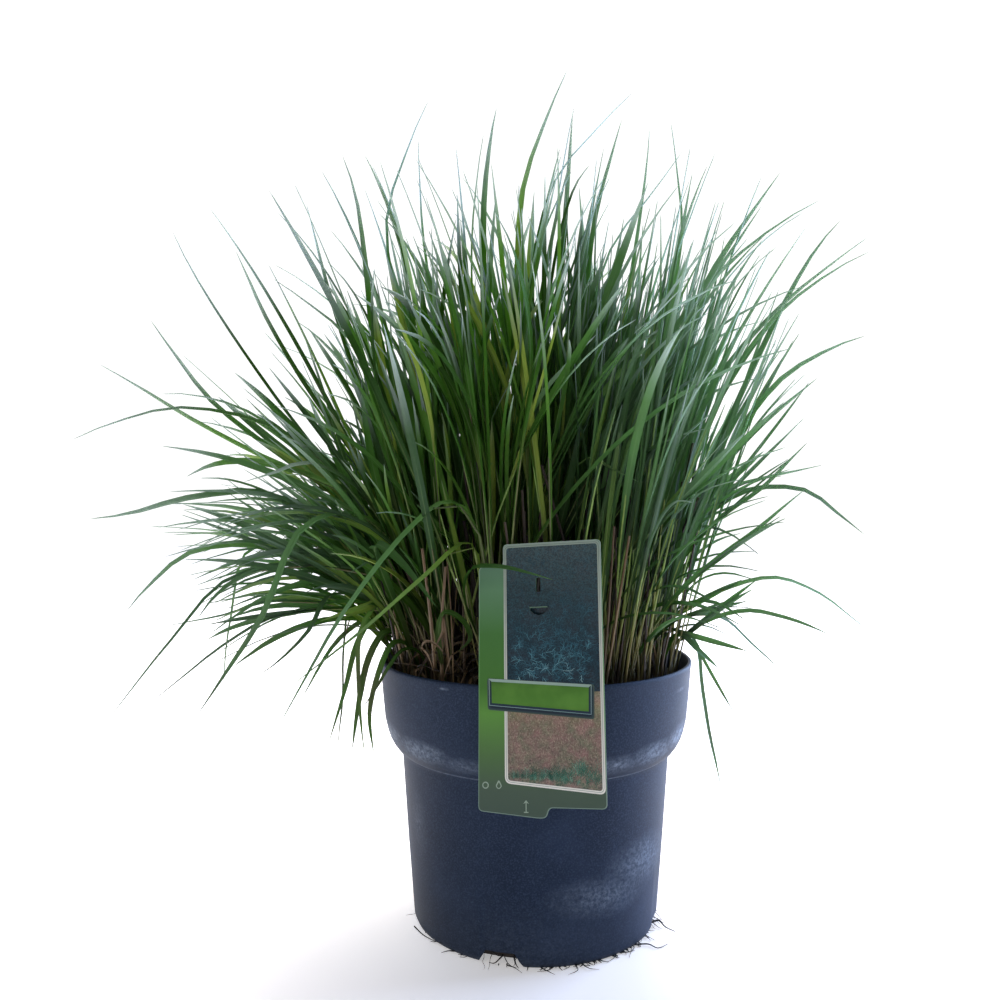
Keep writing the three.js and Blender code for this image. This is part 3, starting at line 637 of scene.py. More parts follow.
def printed(name, stops, heights=None, blotches=()):
    """Ink under a thin varnish, with blotches of (colour, millimetres, share). It fades up the card
    between two heights, or without them takes its colour from each leaflet's tint."""
    ink, shader, add = new_material(name, {"Roughness": 0.45, "Specular IOR Level": 0.3})
    kept = add("Attribute", attribute_name="print" if heights else "grain").outputs["Vector"]
    axes = add("SeparateXYZ", {"Vector": kept}).outputs
    way = axes["X"]
    if heights:
        low, high = (height * MM for height in heights)
        way = add("MapRange", {"Value": axes["Y"], "From Min": low, "From Max": high})
    colour = add("ValToRGB", {"Fac": way}, stops)
    for k, (second, size, share) in enumerate(blotches):
        moved = add("Mapping", {"Vector": kept, "Location": (k, 0, 0)})
        cloud = add("TexNoise", {"Vector": moved, "Scale": 1 / (size * MM), "Detail": 3.0})
        cover = add("MapRange", {"Value": cloud, "From Min": 0.42, "From Max": 0.64, "To Max": share})
        colour = add("Mix", {"Factor": cover, "A": colour, "B": linear(second)}, data_type="RGBA")
    feed(ink, shader, {"Base Color": colour})
    return ink


strip_ink = printed(
    "green strip print",
    [(0.0, "#3F5044"), (0.1, "#445546"), (0.24, "#4A6A3C"), (0.4, "#568838"), (0.5, "#3C6A26"),
     (0.72, "#3C6A30"), (0.9, "#587F5C"), (1.0, "#4F7058")], (-77.5, 84),
)
border_ink = printed("pale frame print", fade("#DCDAD0", "#B8BAAE", "#7E8D80"), (-60, 98))
groove_ink = printed("grey frame line print", fade("#8F9490", "#5B6962"), (-60, 98))
edge_ink = printed("bare cut card edge", fade("#70857A", "#5E8A50", "#8A9C90"), (-77, 98))
night_ink = printed(
    "cool sprig picture print",
    [(0.0, "#031C29"), (0.28, "#052430"), (0.45, "#122D36"), (0.7, "#27383B"), (1.0, "#384849")],
    (0, 96), [("#40383E", 14, 0.26), ("#2A5C6A", 0.8, 0.4), ("#050C12", 0.9, 0.6)],
)
dusk_ink = printed(
    "warm seed picture print",
    [(0.0, "#2F5044"), (0.14, "#50584C"), (0.35, "#665850"), (0.6, "#725E56"), (0.8, "#726652"),
     (1.0, "#807A52")],
    (-58, -8), [("#5A6A50", 12, 0.7), ("#946468", 9, 0.55), ("#3A302C", 0.8, 0.3), ("#B8AA90", 0.9, 0.3)],
)
rim_ink = printed("plate rim print", fade("#6F8A8C", "#93A89E"), (-13, 9))
plate_ink = printed(
    "name plate print", [(0.0, "#3F6A20"), (0.3, "#477626"), (0.7, "#416E20"), (1.0, "#35591F")], (-13, 8),
    [("#5A8A34", 16, 0.4)],
)
bevel_light = printed("plate bevel print, lit", fade("#6F887C", "#8DA396"), (-13, 9))
bevel_dark = printed("plate bevel print, shaded", fade("#16263A", "#22362C"), (-13, 9))
sign_ink = printed("pale sign print", fade("#8FA08E", "#8FA08E"), (-77, 98))
cool_ink = printed(
    "cool sprig print", [(0.0, "#1A3440"), (0.4, "#336A7A"), (0.75, "#68A4B0"), (1.0, "#B4D8DA")]
)
warm_ink = printed(
    "warm seed print",
    [(0.0, "#332A28"), (0.3, "#7A5856"), (0.55, "#5E6450"), (0.8, "#8E8268"), (1.0, "#B0A48C")],
)
teal_ink = printed("teal sprig print", [(0.0, "#1D463A"), (0.6, "#3F7A66"), (1.0, "#86B8A0")])

card_edge = rounded(CARD_CORNERS, 3.2)
inner_edge = rounded(shrunk(CARD_CORNERS, 0.5), 2.8)
window = shrunk(FRAME_CORNERS, FRAME_WIDTH)
groove = shrunk(FRAME_CORNERS, FRAME_WIDTH * 0.45)
plate_outer = shrunk(PLATE_CORNERS, PLATE_RIM)
plate_inner = shrunk(PLATE_CORNERS, PLATE_RIM + PLATE_BEVEL)
card = sheet_of("plant_label", [card_edge, SLOT_CORNERS, TAB_HOLE], -CARD_FACE, CARD_FACE)
cut_edge = sheet_of("label_cut_edge", [card_edge, inner_edge], CARD_FACE - 0.2, CARD_FACE + 0.5 * INK)
layers = [
    inked(card, strip_ink),
    inked(cut_edge, edge_ink),
    coat("label_border", [rounded(FRAME_CORNERS, 4.0), rounded(window, 2.2)], 3, border_ink),
    coat("label_border_groove", [rounded(groove, 3.4), rounded(shrunk(groove, 0.3), 3.2)], 4, groove_ink),
    coat("label_picture_top", [cut_at(PICTURE_SPLIT, window, True), SLOT_CORNERS, TAB_HOLE], 1, night_ink),
    coat("label_picture_low", [cut_at(PICTURE_SPLIT, window, False)], 1, dusk_ink),
    coat("label_plate_rim", [PLATE_CORNERS, plate_outer], 9, rim_ink),
    coat("label_plate_face", [plate_inner], 9, plate_ink),
]
for i, ink in enumerate((bevel_light, bevel_dark, bevel_dark, bevel_dark)):
    k = (i + 1) % 4
    side = [plate_outer[i], plate_outer[k], plate_inner[k], plate_inner[i]]
    layers.append(coat(f"label_bevel_{i}", [side], 8, ink))
# The plate's printed shadow falls below it and fades in four steps.
for step, colour in enumerate(("#3C4C44", "#2F3F3E", "#22323A", "#152430")):
    ink = printed(f"plate shadow print {step}", fade(colour, colour), (-16, 9))
    corners = shrunk([(x + 0.3, y - 1.3) for x, y in PLATE_CORNERS], 0.5 * step - 1.5)
    layers.append(coat(f"label_plate_shade_{step}", [rounded(corners, 2.0)], 4.5 + step, ink))
# The tab's flap stands a little proud of its hole, bent out from its upper edge.
for name, top, low, coats, ink in (
    ("label_flap", FLAP_TOP, 55.2, 2, night_ink), ("label_flap_edge", 55.5, 55.1, 3, edge_ink),
):
    outline = [(-24.3, top), (-12.2, top), (-12.2, low), (-24.3, low)]
    flap = sheet_of(name, [outline], CARD_FACE, CARD_FACE + coats * INK)
    for vertex in flap.data.vertices:
        vertex.co.z += FLAP_LIFT * MM * max(0, FLAP_TOP - vertex.co.y / MM) / 5
    layers.append(inked(flap, ink))
# The ring, the drop and the arrow are plain signs for a sunny place, water and a tall plant.
for name, outlines in (
    ("label_sun_ring", [circle(-55.2, -58, 2.2), circle(-55.2, -58, 1.5)]),
    ("label_drop", [
        rounded([(-46.2, -54.2), (-43.9, -58.6), (-46.2, -60.6), (-48.5, -58.6)], 1.6),
        rounded([(-46.2, -55.8), (-44.7, -58.5), (-46.2, -59.9), (-47.7, -58.5)], 1.0),
    ]),
    ("label_arrow_stem", [[(-28.4, -67.5), (-27.8, -67.5), (-27.8, -74), (-28.4, -74)]]),
    ("label_arrow_head", [[(-28.1, -66.6), (-26.2, -68.9), (-28.1, -68), (-30, -68.9)]]),
    ("label_arrow_foot", [[(-29.6, -73.7), (-26.6, -73.7), (-26.6, -74.3), (-29.6, -74.3)]]),
):
    layers.append(coat(name, outlines, 1, sign_ink))

# The upper picture: sprigs that lie every way, brighter and closer below.
SPRIGS = 420
GOLDEN_SHARE = 0.618
left_edge, right_edge = window[3].x + 0.6, window[1].x - 0.6
picture_width = right_edge - left_edge
sprigs_top = []
for i in range(SPRIGS):
    depth = draw.random() ** 1.3
    size = draw.uniform(4.0, 10.0) * (1.1 - 0.6 * depth)
    x = left_edge + size + (picture_width - 2 * size) * ((i * GOLDEN_SHARE) % 1.0)
    y = 4 + size + depth * (84 - size)
    near_holes = abs(x + 18.3) < 5 + size and 46 < y < 80
    if near_holes or y + size > 94:
        continue
    tint = max(0.03, (1 - depth) ** 1.6 * draw.uniform(0.1, 1.0) ** 1.9)
    sprigs_top += sprig(Vector((x, y)), draw.random() * tau, size, 2, tint)
# The lower picture: upright seeds in crowded rows, with a foot of teal sprigs.
SEED_ROWS, SEED_FILES = 34, 46
LOW_SPRIGS = 110
PICTURE_FOOT, FOOT_FALL = -54.6, 5.2
seeds_low = []
for row in range(SEED_ROWS):
    for k in range(SEED_FILES):
        x = left_edge + 0.4 + (picture_width - 1.6) * (k + draw.random()) / SEED_FILES
        y = -13.5 - 39 * (row + draw.random()) / SEED_ROWS
        floor_here = PICTURE_FOOT - FOOT_FALL * (x - left_edge) / picture_width
        if y < floor_here + 1 or draw.random() < 0.15:
            continue
        seeds_low.append(lens(
            Vector((x, y)), pi / 2 + draw.gauss(0, 0.45), draw.uniform(0.8, 2.4),
            draw.uniform(0.16, 0.32), draw.random(),
        ))
sprigs_low = []
for _ in range(LOW_SPRIGS):
    share = draw.random()
    x = left_edge + 2 + (picture_width - 4) * share
    y = PICTURE_FOOT + 0.6 - FOOT_FALL * share + draw.random() * 9 * share
    size = draw.uniform(3, 6 + 8 * share)
    sprigs_low += sprig(Vector((x, y)), pi / 2 + draw.gauss(0, 0.25), size, 4, draw.random() ** 1.5)
for name, parts, ink in (
    ("label_sprigs_top", sprigs_top, cool_ink), ("label_seeds_low", seeds_low, warm_ink),
    ("label_sprigs_low", sprigs_low, teal_ink),
):
    layers.append(inked(merged(name, parts), ink))
label_front = join(layers, "plant_label_card")
label_front.data.transform(LABEL_POSE)

# The tongue is cut from the same card. It starts behind the picture where the leaning card meets
# the inside of the rim, and goes straight down between the wall and the plant.
TONGUE_WIDTH = 12.0
TONGUE_MIDDLE = -18.0
TONGUE_RADIUS = 113.3
TONGUE_BOTTOM = 187.0
tongue_top = 40.0
while (LABEL_POSE @ Vector((TONGUE_MIDDLE * MM, tongue_top * MM, 0))).xy.length > TONGUE_RADIUS * MM:
    tongue_top += 0.5
tongue_place = LABEL_POSE @ Vector((TONGUE_MIDDLE * MM, tongue_top * MM, 0))
drop = TONGUE_BOTTOM - tongue_place.z / MM
half = TONGUE_WIDTH / 2
tongue_edge = rounded([(-half, 0), (half, 0), (half, drop), (-half, drop)], 4.0)
tongue = inked(sheet_of("label_tongue", [tongue_edge], -CARD_FACE, CARD_FACE), night_ink)
tongue.data.transform(
    Matrix.Translation(tongue_place) @ Matrix.Rotation(LABEL_TURN, 4, "Z")
    @ Matrix.Rotation(radians(90), 4, "X")
)
label = join([label_front, tongue], "plant_label_card")
label.data.update()
finish_piece(label, "label", "plant_label")

# ---------------------------------------------------------------- green shoots
# Each shoot is a culm with leaves in two ranks: a rolled sheath that clasps the culm, then a flat
# blade folded along its midrib and drawn out to a fine point. The blades are waxy, blue-green
# outside and yellow-green where light comes through them.
CROWN_TOP = 0.192
PACKED_WELD = 2e-5
BLADE_SMOOTHING = 50
GLOW_SHARE = 0.42
LEAF_THICKNESS = 0.00024
LEAST_HALF_WIDTH = 0.0003
# A packed leaf is a little wider than the blade that stands for it.
WIDTH_SHARE = 0.82
LOWEST_TIP = CROWN_TOP - 0.09
CAD_STATIONS = [0, 0.22, 0.43, 0.62, 0.79, 0.92, 1]
LEAF_STATIONS = [0, 0.12, 0.3, 0.5, 0.7, 0.86, 1]
LONG_CUTS = [0.95 * i / 18 for i in range(19)] + [0.985]
SHORT_CUTS = [0.94 * i / 11 for i in range(12)] + [0.98]
# How far a blade has unrolled along a leaf that rises from the crown, and along one from a node.
LONG_OPENING = [(0, 0.16), (0.24, 0.2), (0.38, 0.75), (0.5, 1), (0.66, 1), (0.8, 0.85), (0.9, 0.55),
                (0.97, 0.22), (1, 0.02)]
LEAF_OPENING = [(0, 0.2), (0.06, 0.3), (0.18, 0.85), (0.32, 1), (0.54, 1), (0.72, 0.84), (0.86, 0.55),
                (0.95, 0.24), (1, 0.02)]
SECTION = [(-1, 0), (-0.55, 0.5), (0, 0.2), (0.55, 0.5), (1, 0), (0.55, -0.5), (0, -1.3), (-0.55, -0.5)]
SIDE_LEAVES = (3, 4)
LEAF_TRIES = 10
# The shoots in front on the right have slimmer leaves. Only outer shoots have low, hanging ones.
SLIM_SHARE = 0.62
OUTER_RADIUS = 0.06
CULM_SUNK = 0.009
# The blades turn their faces a little towards the light in front of the plant.
TO_LIGHT = Vector((0, -0.8, 0))
# How far leaves may reach at each height, to the left and to the right, in metres.
LEFT_REACH = [(0.11, 0.2), (0.24, 0.26), (0.32, 0.3), (0.43, 0.295), (0.52, 0.25), (0.63, 0.16)]
RIGHT_REACH = [(0.11, 0.165), (0.24, 0.16), (0.32, 0.185), (0.43, 0.22), (0.52, 0.235), (0.63, 0.17)]
# How fast the clump's top falls away to the left, to the right and to the back, per metre.
FALL_LEFT, FALL_RIGHT, FALL_DEEP = 2.7, 1.4, 1.6
# Leaves keep out of the boxes before the pot and before the stems, given by their corners in
# metres, and of one at the label, in the card's own millimetres. They also keep clear of the wall.
BEFORE_POT = ((-0.125, -1, 0), (0.125, -0.09, 0.215))
BEFORE_STEMS = ((-0.17, -1, 0), (0.06, -0.1, 0.36))
AT_CARD = ((-64, -80, -4), (28, 102, 40))
FROM_CARD = LABEL_POSE.inverted()
WALL_INNER, WALL_OUTER, WALL_TOP = 0.111, 0.127, 0.204
LOWEST_LEAF = 0.112


def middle_of(vertices):
    return sum((vertex.co for vertex in vertices), Vector()) / len(vertices)


def packed_tuft(name):
    """The mesh of a packed tuft with its doubled points joined."""
    packed = bmesh.new()
    packed.from_mesh(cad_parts[name].data)
    bmesh.ops.remove_doubles(packed, verts=packed.verts, dist=PACKED_WELD)
    return packed


def read_leaves(name):
    """Each leaf of a packed tuft as its centre line from foot to tip, its width and upper side."""
    packed = packed_tuft(name)
    crown = middle_of([vertex for vertex in packed.verts if vertex.co.z < CROWN_TOP - 0.002])
    crown.z = CROWN_TOP
    leaves = []
    for apex in packed.verts:
        if len(apex.link_edges) != 3 or apex.co.z < LOWEST_TIP:
            continue
        rings = [[apex]]
        seen = {apex}
        while True:
            following = []
            for vertex in rings[-1]:
                for edge in vertex.link_edges:
                    other = edge.other_vert(vertex)
                    if other not in seen:
                        seen.add(other)
                        following.append(other)
            if len(following) != 3:
                break
            rings.append(following)
        missing = len(CAD_STATIONS) - 1 - len(rings)
        if not 0 <= missing <= 2:
            continue
        centres = [middle_of(ring) for ring in rings]
        # A leaf that runs through a neighbour is closed with a curve down to the crown's middle.
        last, bend = centres[-1], centres[-1] * 2.65 - centres[-2] * 1.65
        for station in CAD_STATIONS[missing:0:-1]:
            s = 1 - station / CAD_STATIONS[missing + 1]
            centres.append(last * (1 - s) ** 2 + bend * 2 * s * (1 - s) + crown * s * s)
        centres.append(crown.copy() if missing else middle_of(following))
        centres.reverse()
        ups, width = [], 0
        for ring in rings[:0:-1]:
            corners = [v.co for v in ring]
            turns = [corners[i:] + corners[:i] for i in range(3)]
            left, right, keel = max(turns, key=lambda c: (c[0] - c[1]).length)
            ups.append(((left + right) / 2 - keel).normalized())
            width = max(width, (left - right).length)
        leaves.append((centres, WIDTH_SHARE * width, sum(ups, Vector()).normalized()))
    packed.free()
    return leaves


def between(table, t):
    """The value at t of a smooth line through (place, value) pairs."""
    for (a, low), (b, high) in zip(table, table[1:]):
        if t <= b:
            share = max(0, (t - a) / (b - a))
            return low + (high - low) * share * share * (3 - 2 * share)
    return table[-1][1]


def blade(points, stations, cuts, width, up, opening, twist, fold, tint):
    """A closed leaf along a line: rolled below, folded and tapering above."""
    centres = [on_line(points, stations, t) for t in cuts] + [points[-1]]
    vertices, faces, values = [], [], []
    for i, t in enumerate(cuts):
        forward = (centres[i + 1] - centres[max(i - 1, 0)]).normalized()
        over = up.normalized() + TO_LIGHT
        over -= forward * over.dot(forward)
        across = forward.cross(over).normalized()
        across = Quaternion(forward, twist * max(0, t - 0.2) ** 1.4) @ across
        over = across.cross(forward)
        open_share = between(opening, t)
        half = max(width * open_share / 2, LEAST_HALF_WIDTH)
        rolled = max(0, 1 - open_share * 2.4) if t < 0.5 else 0
        thickness = LEAF_THICKNESS * (1 - rolled) + 1.3 * half * rolled
        lift = fold * (1 - rolled) * half
        for u, above in SECTION:
            vertices.append(centres[i] + across * (half * u) + over * (lift * abs(u) + thickness * above))
            values.append((t, u, tint))
    count = len(SECTION)
    for i in range(len(cuts) - 1):
        for j in range(count):
            k = (j + 1) % count
            a, b = i * count, (i + 1) * count
            faces.append([a + j, b + j, b + k, a + k])
    last = (len(cuts) - 1) * count
    tip = len(vertices)
    vertices.append(points[-1])
    values.append((1.0, 0.0, tint))
    faces += [[last + j, tip, last + (j + 1) % count] for j in range(count)]
    faces.append(list(range(count)))
    return vertices, faces, values


def inside(place, box):
    """True where a place lies between a box's two corners."""
    return all(low < value < high for low, value, high in zip(box[0], place, box[1]))


def in_reach(points, ceiling):
    """True where a leaf stays in the clump's outline and clear of the pot's front and the label."""
    for p in points + [(a + b) / 2 for a, b in zip(points, points[1:])]:
        dome = ceiling - (FALL_LEFT if p.x < 0 else FALL_RIGHT) * p.x ** 2 - FALL_DEEP * p.y ** 2
        left, right = between(LEFT_REACH, p.z), between(RIGHT_REACH, p.z)
        reach = hypot(p.x / (left if p.x < 0 else right), 2 * p.y / (left + right))
        in_wall = p.z < WALL_TOP and WALL_INNER < hypot(p.x, p.y) < WALL_OUTER
        in_the_way = inside(p, BEFORE_POT) or inside(p, BEFORE_STEMS) or inside(FROM_CARD @ p / MM, AT_CARD)
        if p.z > dome or p.z < LOWEST_LEAF or reach > 1 or in_wall or in_the_way:
            return False
    return True


def node_leaf(shoot, stations, start, turn, length, lean, droop, ceiling):
    """A leaf from a node of the shoot, leaning out to one side and arching over, or None."""
    root = on_line(shoot, stations, start)
    forward = (on_line(shoot, stations, start + 0.06) - root).normalized()
    outward = Vector((root.x + 0.002, root.y, 0)).normalized()
    away = Quaternion(UP, turn) @ outward
    for attempt in range(LEAF_TRIES):
        reach = length * (1 - 0.06 * attempt)
        points = []
        for u in LEAF_STATIONS:
            rise = forward * (u - 0.22 * lean * u * u)
            fall = UP * (droop * u ** 2.6)
            points.append(root + (rise + away * (lean * u ** 1.7) - fall) * reach)
        if in_reach(points[2:], ceiling):
            over = forward.cross(away).cross(points[-1] - points[0]).normalized()
            return points, over if over.z > 0 else -over
    return None


def dressed(shoot, stations, tone, count, spread, share, widths):
    """The leaves of one shoot, standing in two ranks to both sides of its outward lean."""
    total = (shoot[-1] - shoot[0]).length
    outer = hypot(shoot[0].x, shoot[0].y) > OUTER_RADIUS
    on_left = shoot[0].x < 0
    slim = SLIM_SHARE if shoot[0].x > 0.015 and shoot[0].y < 0.02 else 1
    leaves = []
    rank = spread.choice((-1, 1))
    for _ in range(count):
        rank = -rank
        ceiling = spread.gauss(0.525, 0.035)
        low = spread.random() < (0.34 if on_left else 0.1) and outer
        if low:
            found = node_leaf(
                shoot, stations, spread.uniform(0.05, 0.2), rank * spread.uniform(0, 0.9),
                spread.uniform(0.15, 0.27), spread.uniform(0.5, 0.95), spread.uniform(0.15, 0.65), ceiling,
            )
        else:
            found = node_leaf(
                shoot, stations, spread.uniform(0.16, 0.55), rank * spread.uniform(0.2, 2.0),
                total * spread.uniform(*share), spread.uniform(0.04, 0.4 if on_left else 0.26) * slim,
                spread.random() ** 3 * (0.35 if on_left else 0.12), ceiling,
            )
        if found is None:
            continue
        points, over = found
        leaves.append(blade(
            points, LEAF_STATIONS, SHORT_CUTS, spread.uniform(*widths) * slim * MM, over, LEAF_OPENING,
            spread.gauss(0, 0.9), spread.uniform(0.2, 0.55), min(max(tone + spread.gauss(0, 0.26), 0), 0.97),
        ))
    return leaves


def culm(shoot, stations, top, radius, spread):
    """The stem inside the sheaths, thick at the crown and thin at its last node."""
    steps = [0, 0.25, 0.5, 0.75, 1]
    line = [on_line(shoot, stations, t * top) for t in steps]
    line[0] = line[0] + (line[0] - line[1]).normalized() * CULM_SUNK
    on_right = shoot[0].x > 0.01
    green = 1 if on_right else spread.uniform(0.1, 0.8)
    tone = spread.random() * (1 if on_right else 0.5)
    return tube(line, radius, 0.55 * radius, 6, tone, green)


# Leaf tissue with a wax bloom: diffuse and translucent, with a soft broad gloss.
leaf_skin, shader, add = new_material("waxy grass leaf", {
    "Roughness": 0.55, "IOR": 1.42, "Specular IOR Level": 0.13,
})
grain = add("Attribute", attribute_name="grain").outputs["Vector"]
axes = add("SeparateXYZ", {"Vector": grain})
along, across, tint = (axes.outputs[k] for k in "XYZ")
place = add("TexCoord").outputs["Object"]
axes = add("SeparateXYZ", {"Vector": place})
right, height = axes.outputs["X"], axes.outputs["Z"]
patchy = add("TexNoise", {"Vector": place, "Scale": 22.0, "Detail": 3.0})
fresh = add(
    "ValToRGB", {"Fac": tint},
    [(0.0, "#26431A"), (0.25, "#3A6022"), (0.5, "#4C7C2C"), (0.7, "#578A38"), (0.85, "#72A33E"),
     (0.96, "#98B848"), (1.0, "#A39C5A")],
)
# Painted glare: the tips that stand out of the clump are painted pale, as if washed out by the bright
# surround. Those inside it stay green.
sideways = add("VectorMath", {0: place, 1: (1, 1, 0)}, operation="MULTIPLY")
from_axis = add("VectorMath", {0: sideways}, operation="LENGTH")
shelter = add("Math", {0: from_axis, 1: 1.0, 2: height}, operation="MULTIPLY_ADD")
standing_out = add(
    "MapRange", {"Value": shelter, "From Min": 0.42, "From Max": 0.62, "To Min": 0.1, "To Max": 2.8}
)
tip_share = add("MapRange", {"Value": along, "From Min": 0.73})
tip_glare = add("Math", {0: tip_share, 1: standing_out}, operation="MULTIPLY")
painted_glare_share = add("Math", {0: tip_glare, 1: patchy}, operation="MULTIPLY")
# The rolled sheaths are paler than the blades, and near the crown they are stained brown.
sheath_share = add("MapRange", {"Value": along, "From Min": 0.24, "From Max": 0.1, "To Max": 0.6})
low_share = add("MapRange", {"Value": height, "From Min": 0.26, "From Max": 0.19, "To Max": 0.9})
stain = add("MapRange", {"Value": patchy, "From Min": 0.3, "From Max": 0.62})
stained = add("Math", {0: low_share, 1: stain}, operation="MULTIPLY")
# The midrib is a pale line one tenth of the blade wide. The veins run along the blade beside it,
# and both fade out towards the tip.
fading = add("MapRange", {"Value": along, "From Min": 0.35, "From Max": 0.7, "To Min": 1.0, "To Max": 0.0})
off_centre = add("Math", {0: across}, operation="ABSOLUTE")
rib = add("MapRange", {"Value": off_centre, "From Min": 0.2, "From Max": 0.06, "To Max": 0.5})
rib_share = add("Math", {0: rib, 1: fading}, operation="MULTIPLY")
wave = add("Math", {0: across, 1: 13.0}, operation="MULTIPLY")
ridges = add("Math", {0: wave}, operation="SINE")
veins = add("Math", {0: ridges, 1: fading}, operation="MULTIPLY")
vein_share = add(
    "MapRange", {"Value": veins, "From Min": -1.0, "From Max": 1.0, "To Min": 0.0, "To Max": 0.22}
)
# Painted cool light: the leaves on the right are tinted blue-grey, as the cool lamp on the right lights
# them, and the leaves that spread low and wide get the same tint.
towards_right = add("MapRange", {"Value": right, "From Max": 0.13, "To Max": 0.5})
spreading = add("MapRange", {"Value": from_axis, "From Min": 0.12, "From Max": 0.2})
lying_low = add("MapRange", {"Value": height, "From Min": 0.42, "From Max": 0.32, "To Max": 0.3})
low_spread_tint = add("Math", {0: spreading, 1: lying_low}, operation="MULTIPLY")
cool_light_and_low_tint = add("Math", {0: towards_right, 1: low_spread_tint}, operation="MAXIMUM")
# From the green outwards: painted glare on the tips, pale sheaths, stains, midrib, veins and painted cool
# light.
colour = fresh
for share, over in (
    (painted_glare_share, "#C4D0D4"), (sheath_share, "#8C9C52"), (stained, "#5E5240"), (rib_share, "#9DB97A"),
    (vein_share, "#1C3612"), (cool_light_and_low_tint, "#8CA898"),
):
    colour = add("Mix", {"Factor": share, "A": colour, "B": linear(over)}, data_type="RGBA")
# Painted shade: the blades deep in the clump are painted darker than those that reach the light above, and
# those that hang outside the pot are left as bright.
within = add(
    "MapRange", {"Value": shelter, "From Min": 0.32, "From Max": 0.54, "To Min": 0.2, "To Max": 1.0}
)
outside = add("MapRange", {"Value": from_axis, "From Min": 0.112, "From Max": 0.132, "To Max": 0.95})
depth = add("Math", {0: within, 1: outside}, operation="MAXIMUM")
painted_depth_shade = add("Mix", {"Factor": 1.0, "A": colour, "B": depth}, data_type="RGBA", blend_type="MULTIPLY")
vein_bump = add("Bump", {"Height": veins, "Strength": 0.15, "Distance": 0.08 * MM})
glow_colour = add("Mix", {"Factor": 0.4, "A": painted_depth_shade, "B": linear("#9ACC3C")}, data_type="RGBA")
glow = add("BsdfTranslucent", {"Color": glow_colour, "Normal": vein_bump})
feed(leaf_skin, shader, {"Base Color": painted_depth_shade, "Normal": vein_bump})
both = add("MixShader", {0: GLOW_SHARE, 1: shader, 2: glow})
feed(leaf_skin, leaf_skin.node_tree.nodes["Material Output"], {"Surface": both})

culm_lines = []
green_nodes = sorted(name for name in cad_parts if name.startswith("green_tuft"))
for number, name in enumerate(green_nodes):
    spread = random.Random(700 + number)
    blades = []
    for shoot, width, up in read_leaves(name):
        tone = spread.random() ** 1.2 * 0.9
        # The leaves that hang far out in front are fresh green.
        if shoot[-1].y < -0.16 and shoot[-1].z < 0.25:
            tone = 0.93 if shoot[-1].z > 0.205 else 0.74
        blades.append(blade(
            shoot, CAD_STATIONS, LONG_CUTS, width, up, LONG_OPENING, spread.gauss(0, 0.5),
            spread.uniform(0.25, 0.5), tone,
        ))
        top, radius = spread.uniform(0.42, 0.6), spread.uniform(0.75, 1.15)
        culm_lines.append(culm(shoot, CAD_STATIONS, top, radius * MM, spread))
        blades += dressed(
            shoot, CAD_STATIONS, tone, spread.randint(*SIDE_LEAVES), spread, (0.45, 0.85), (3.4, 6.8)
        )
    leaves = merged(f"green_leaves_{number + 1:02d}", blades)
    finish_piece(leaves, "leaf", name, skin=leaf_skin, smooth=BLADE_SMOOTHING)

# Young shoots fill the clump's foot. They are shorter and finer than the others. Every third one
# stands near the rim, most of them on the left, and arches out over it. As many more close the
# clump's left and right flanks.
YOUNG_SHOOTS = 300
YOUNG_STATIONS = [i / 6 for i in range(7)]
YOUNG_REACH, YOUNG_FOOT, YOUNG_CEILING = 0.107, 0.183, 0.53
draw = random.Random(77)
young = []
for number in range(YOUNG_SHOOTS):
    over_rim = number % 3 == 0
    radius, turn = YOUNG_REACH * sqrt(draw.random()), draw.random() * tau
    tall, spring = draw.uniform(0.13, 0.34), draw.uniform(0, 0.18)
    if over_rim:
        radius, turn = draw.uniform(0.09, 0.104), radians(draw.gauss(183, 42))
        tall, spring = draw.uniform(0.11, 0.22), draw.uniform(0.3, 1.2)
    elif number % 3 == 1:
        radius, turn = draw.uniform(0.084, YOUNG_REACH), radians(draw.gauss(0, 38))
        turn += pi if number % 2 else 0
    outward = polar(1, turn)
    foot = outward * radius + UP * YOUNG_FOOT
    tilt = Vector((draw.gauss(0, 0.09), draw.gauss(0, 0.09), 1))
    tilt += outward * draw.uniform(-0.02, 0.28) * radius / YOUNG_REACH
    bend = outward * spring
    shoot = [foot + (tilt * u + bend * u ** 2.5) * tall for u in YOUNG_STATIONS]
    if not in_reach(shoot[1:], YOUNG_CEILING):
        continue
    tone = draw.random()
    young.append(blade(
        shoot, YOUNG_STATIONS, LONG_CUTS, draw.uniform(3, 5) * MM, outward + UP * 0.3,
        LONG_OPENING, draw.gauss(0, 1.2), 0.4, tone,
    ))
    culm_lines.append(
        culm(shoot, YOUNG_STATIONS, draw.uniform(0.45, 0.7), draw.uniform(0.6, 0.95) * MM, draw)
    )
    young += dressed(shoot, YOUNG_STATIONS, tone, draw.randint(1, 3), draw, (0.5, 0.9), (3.0, 5.5))
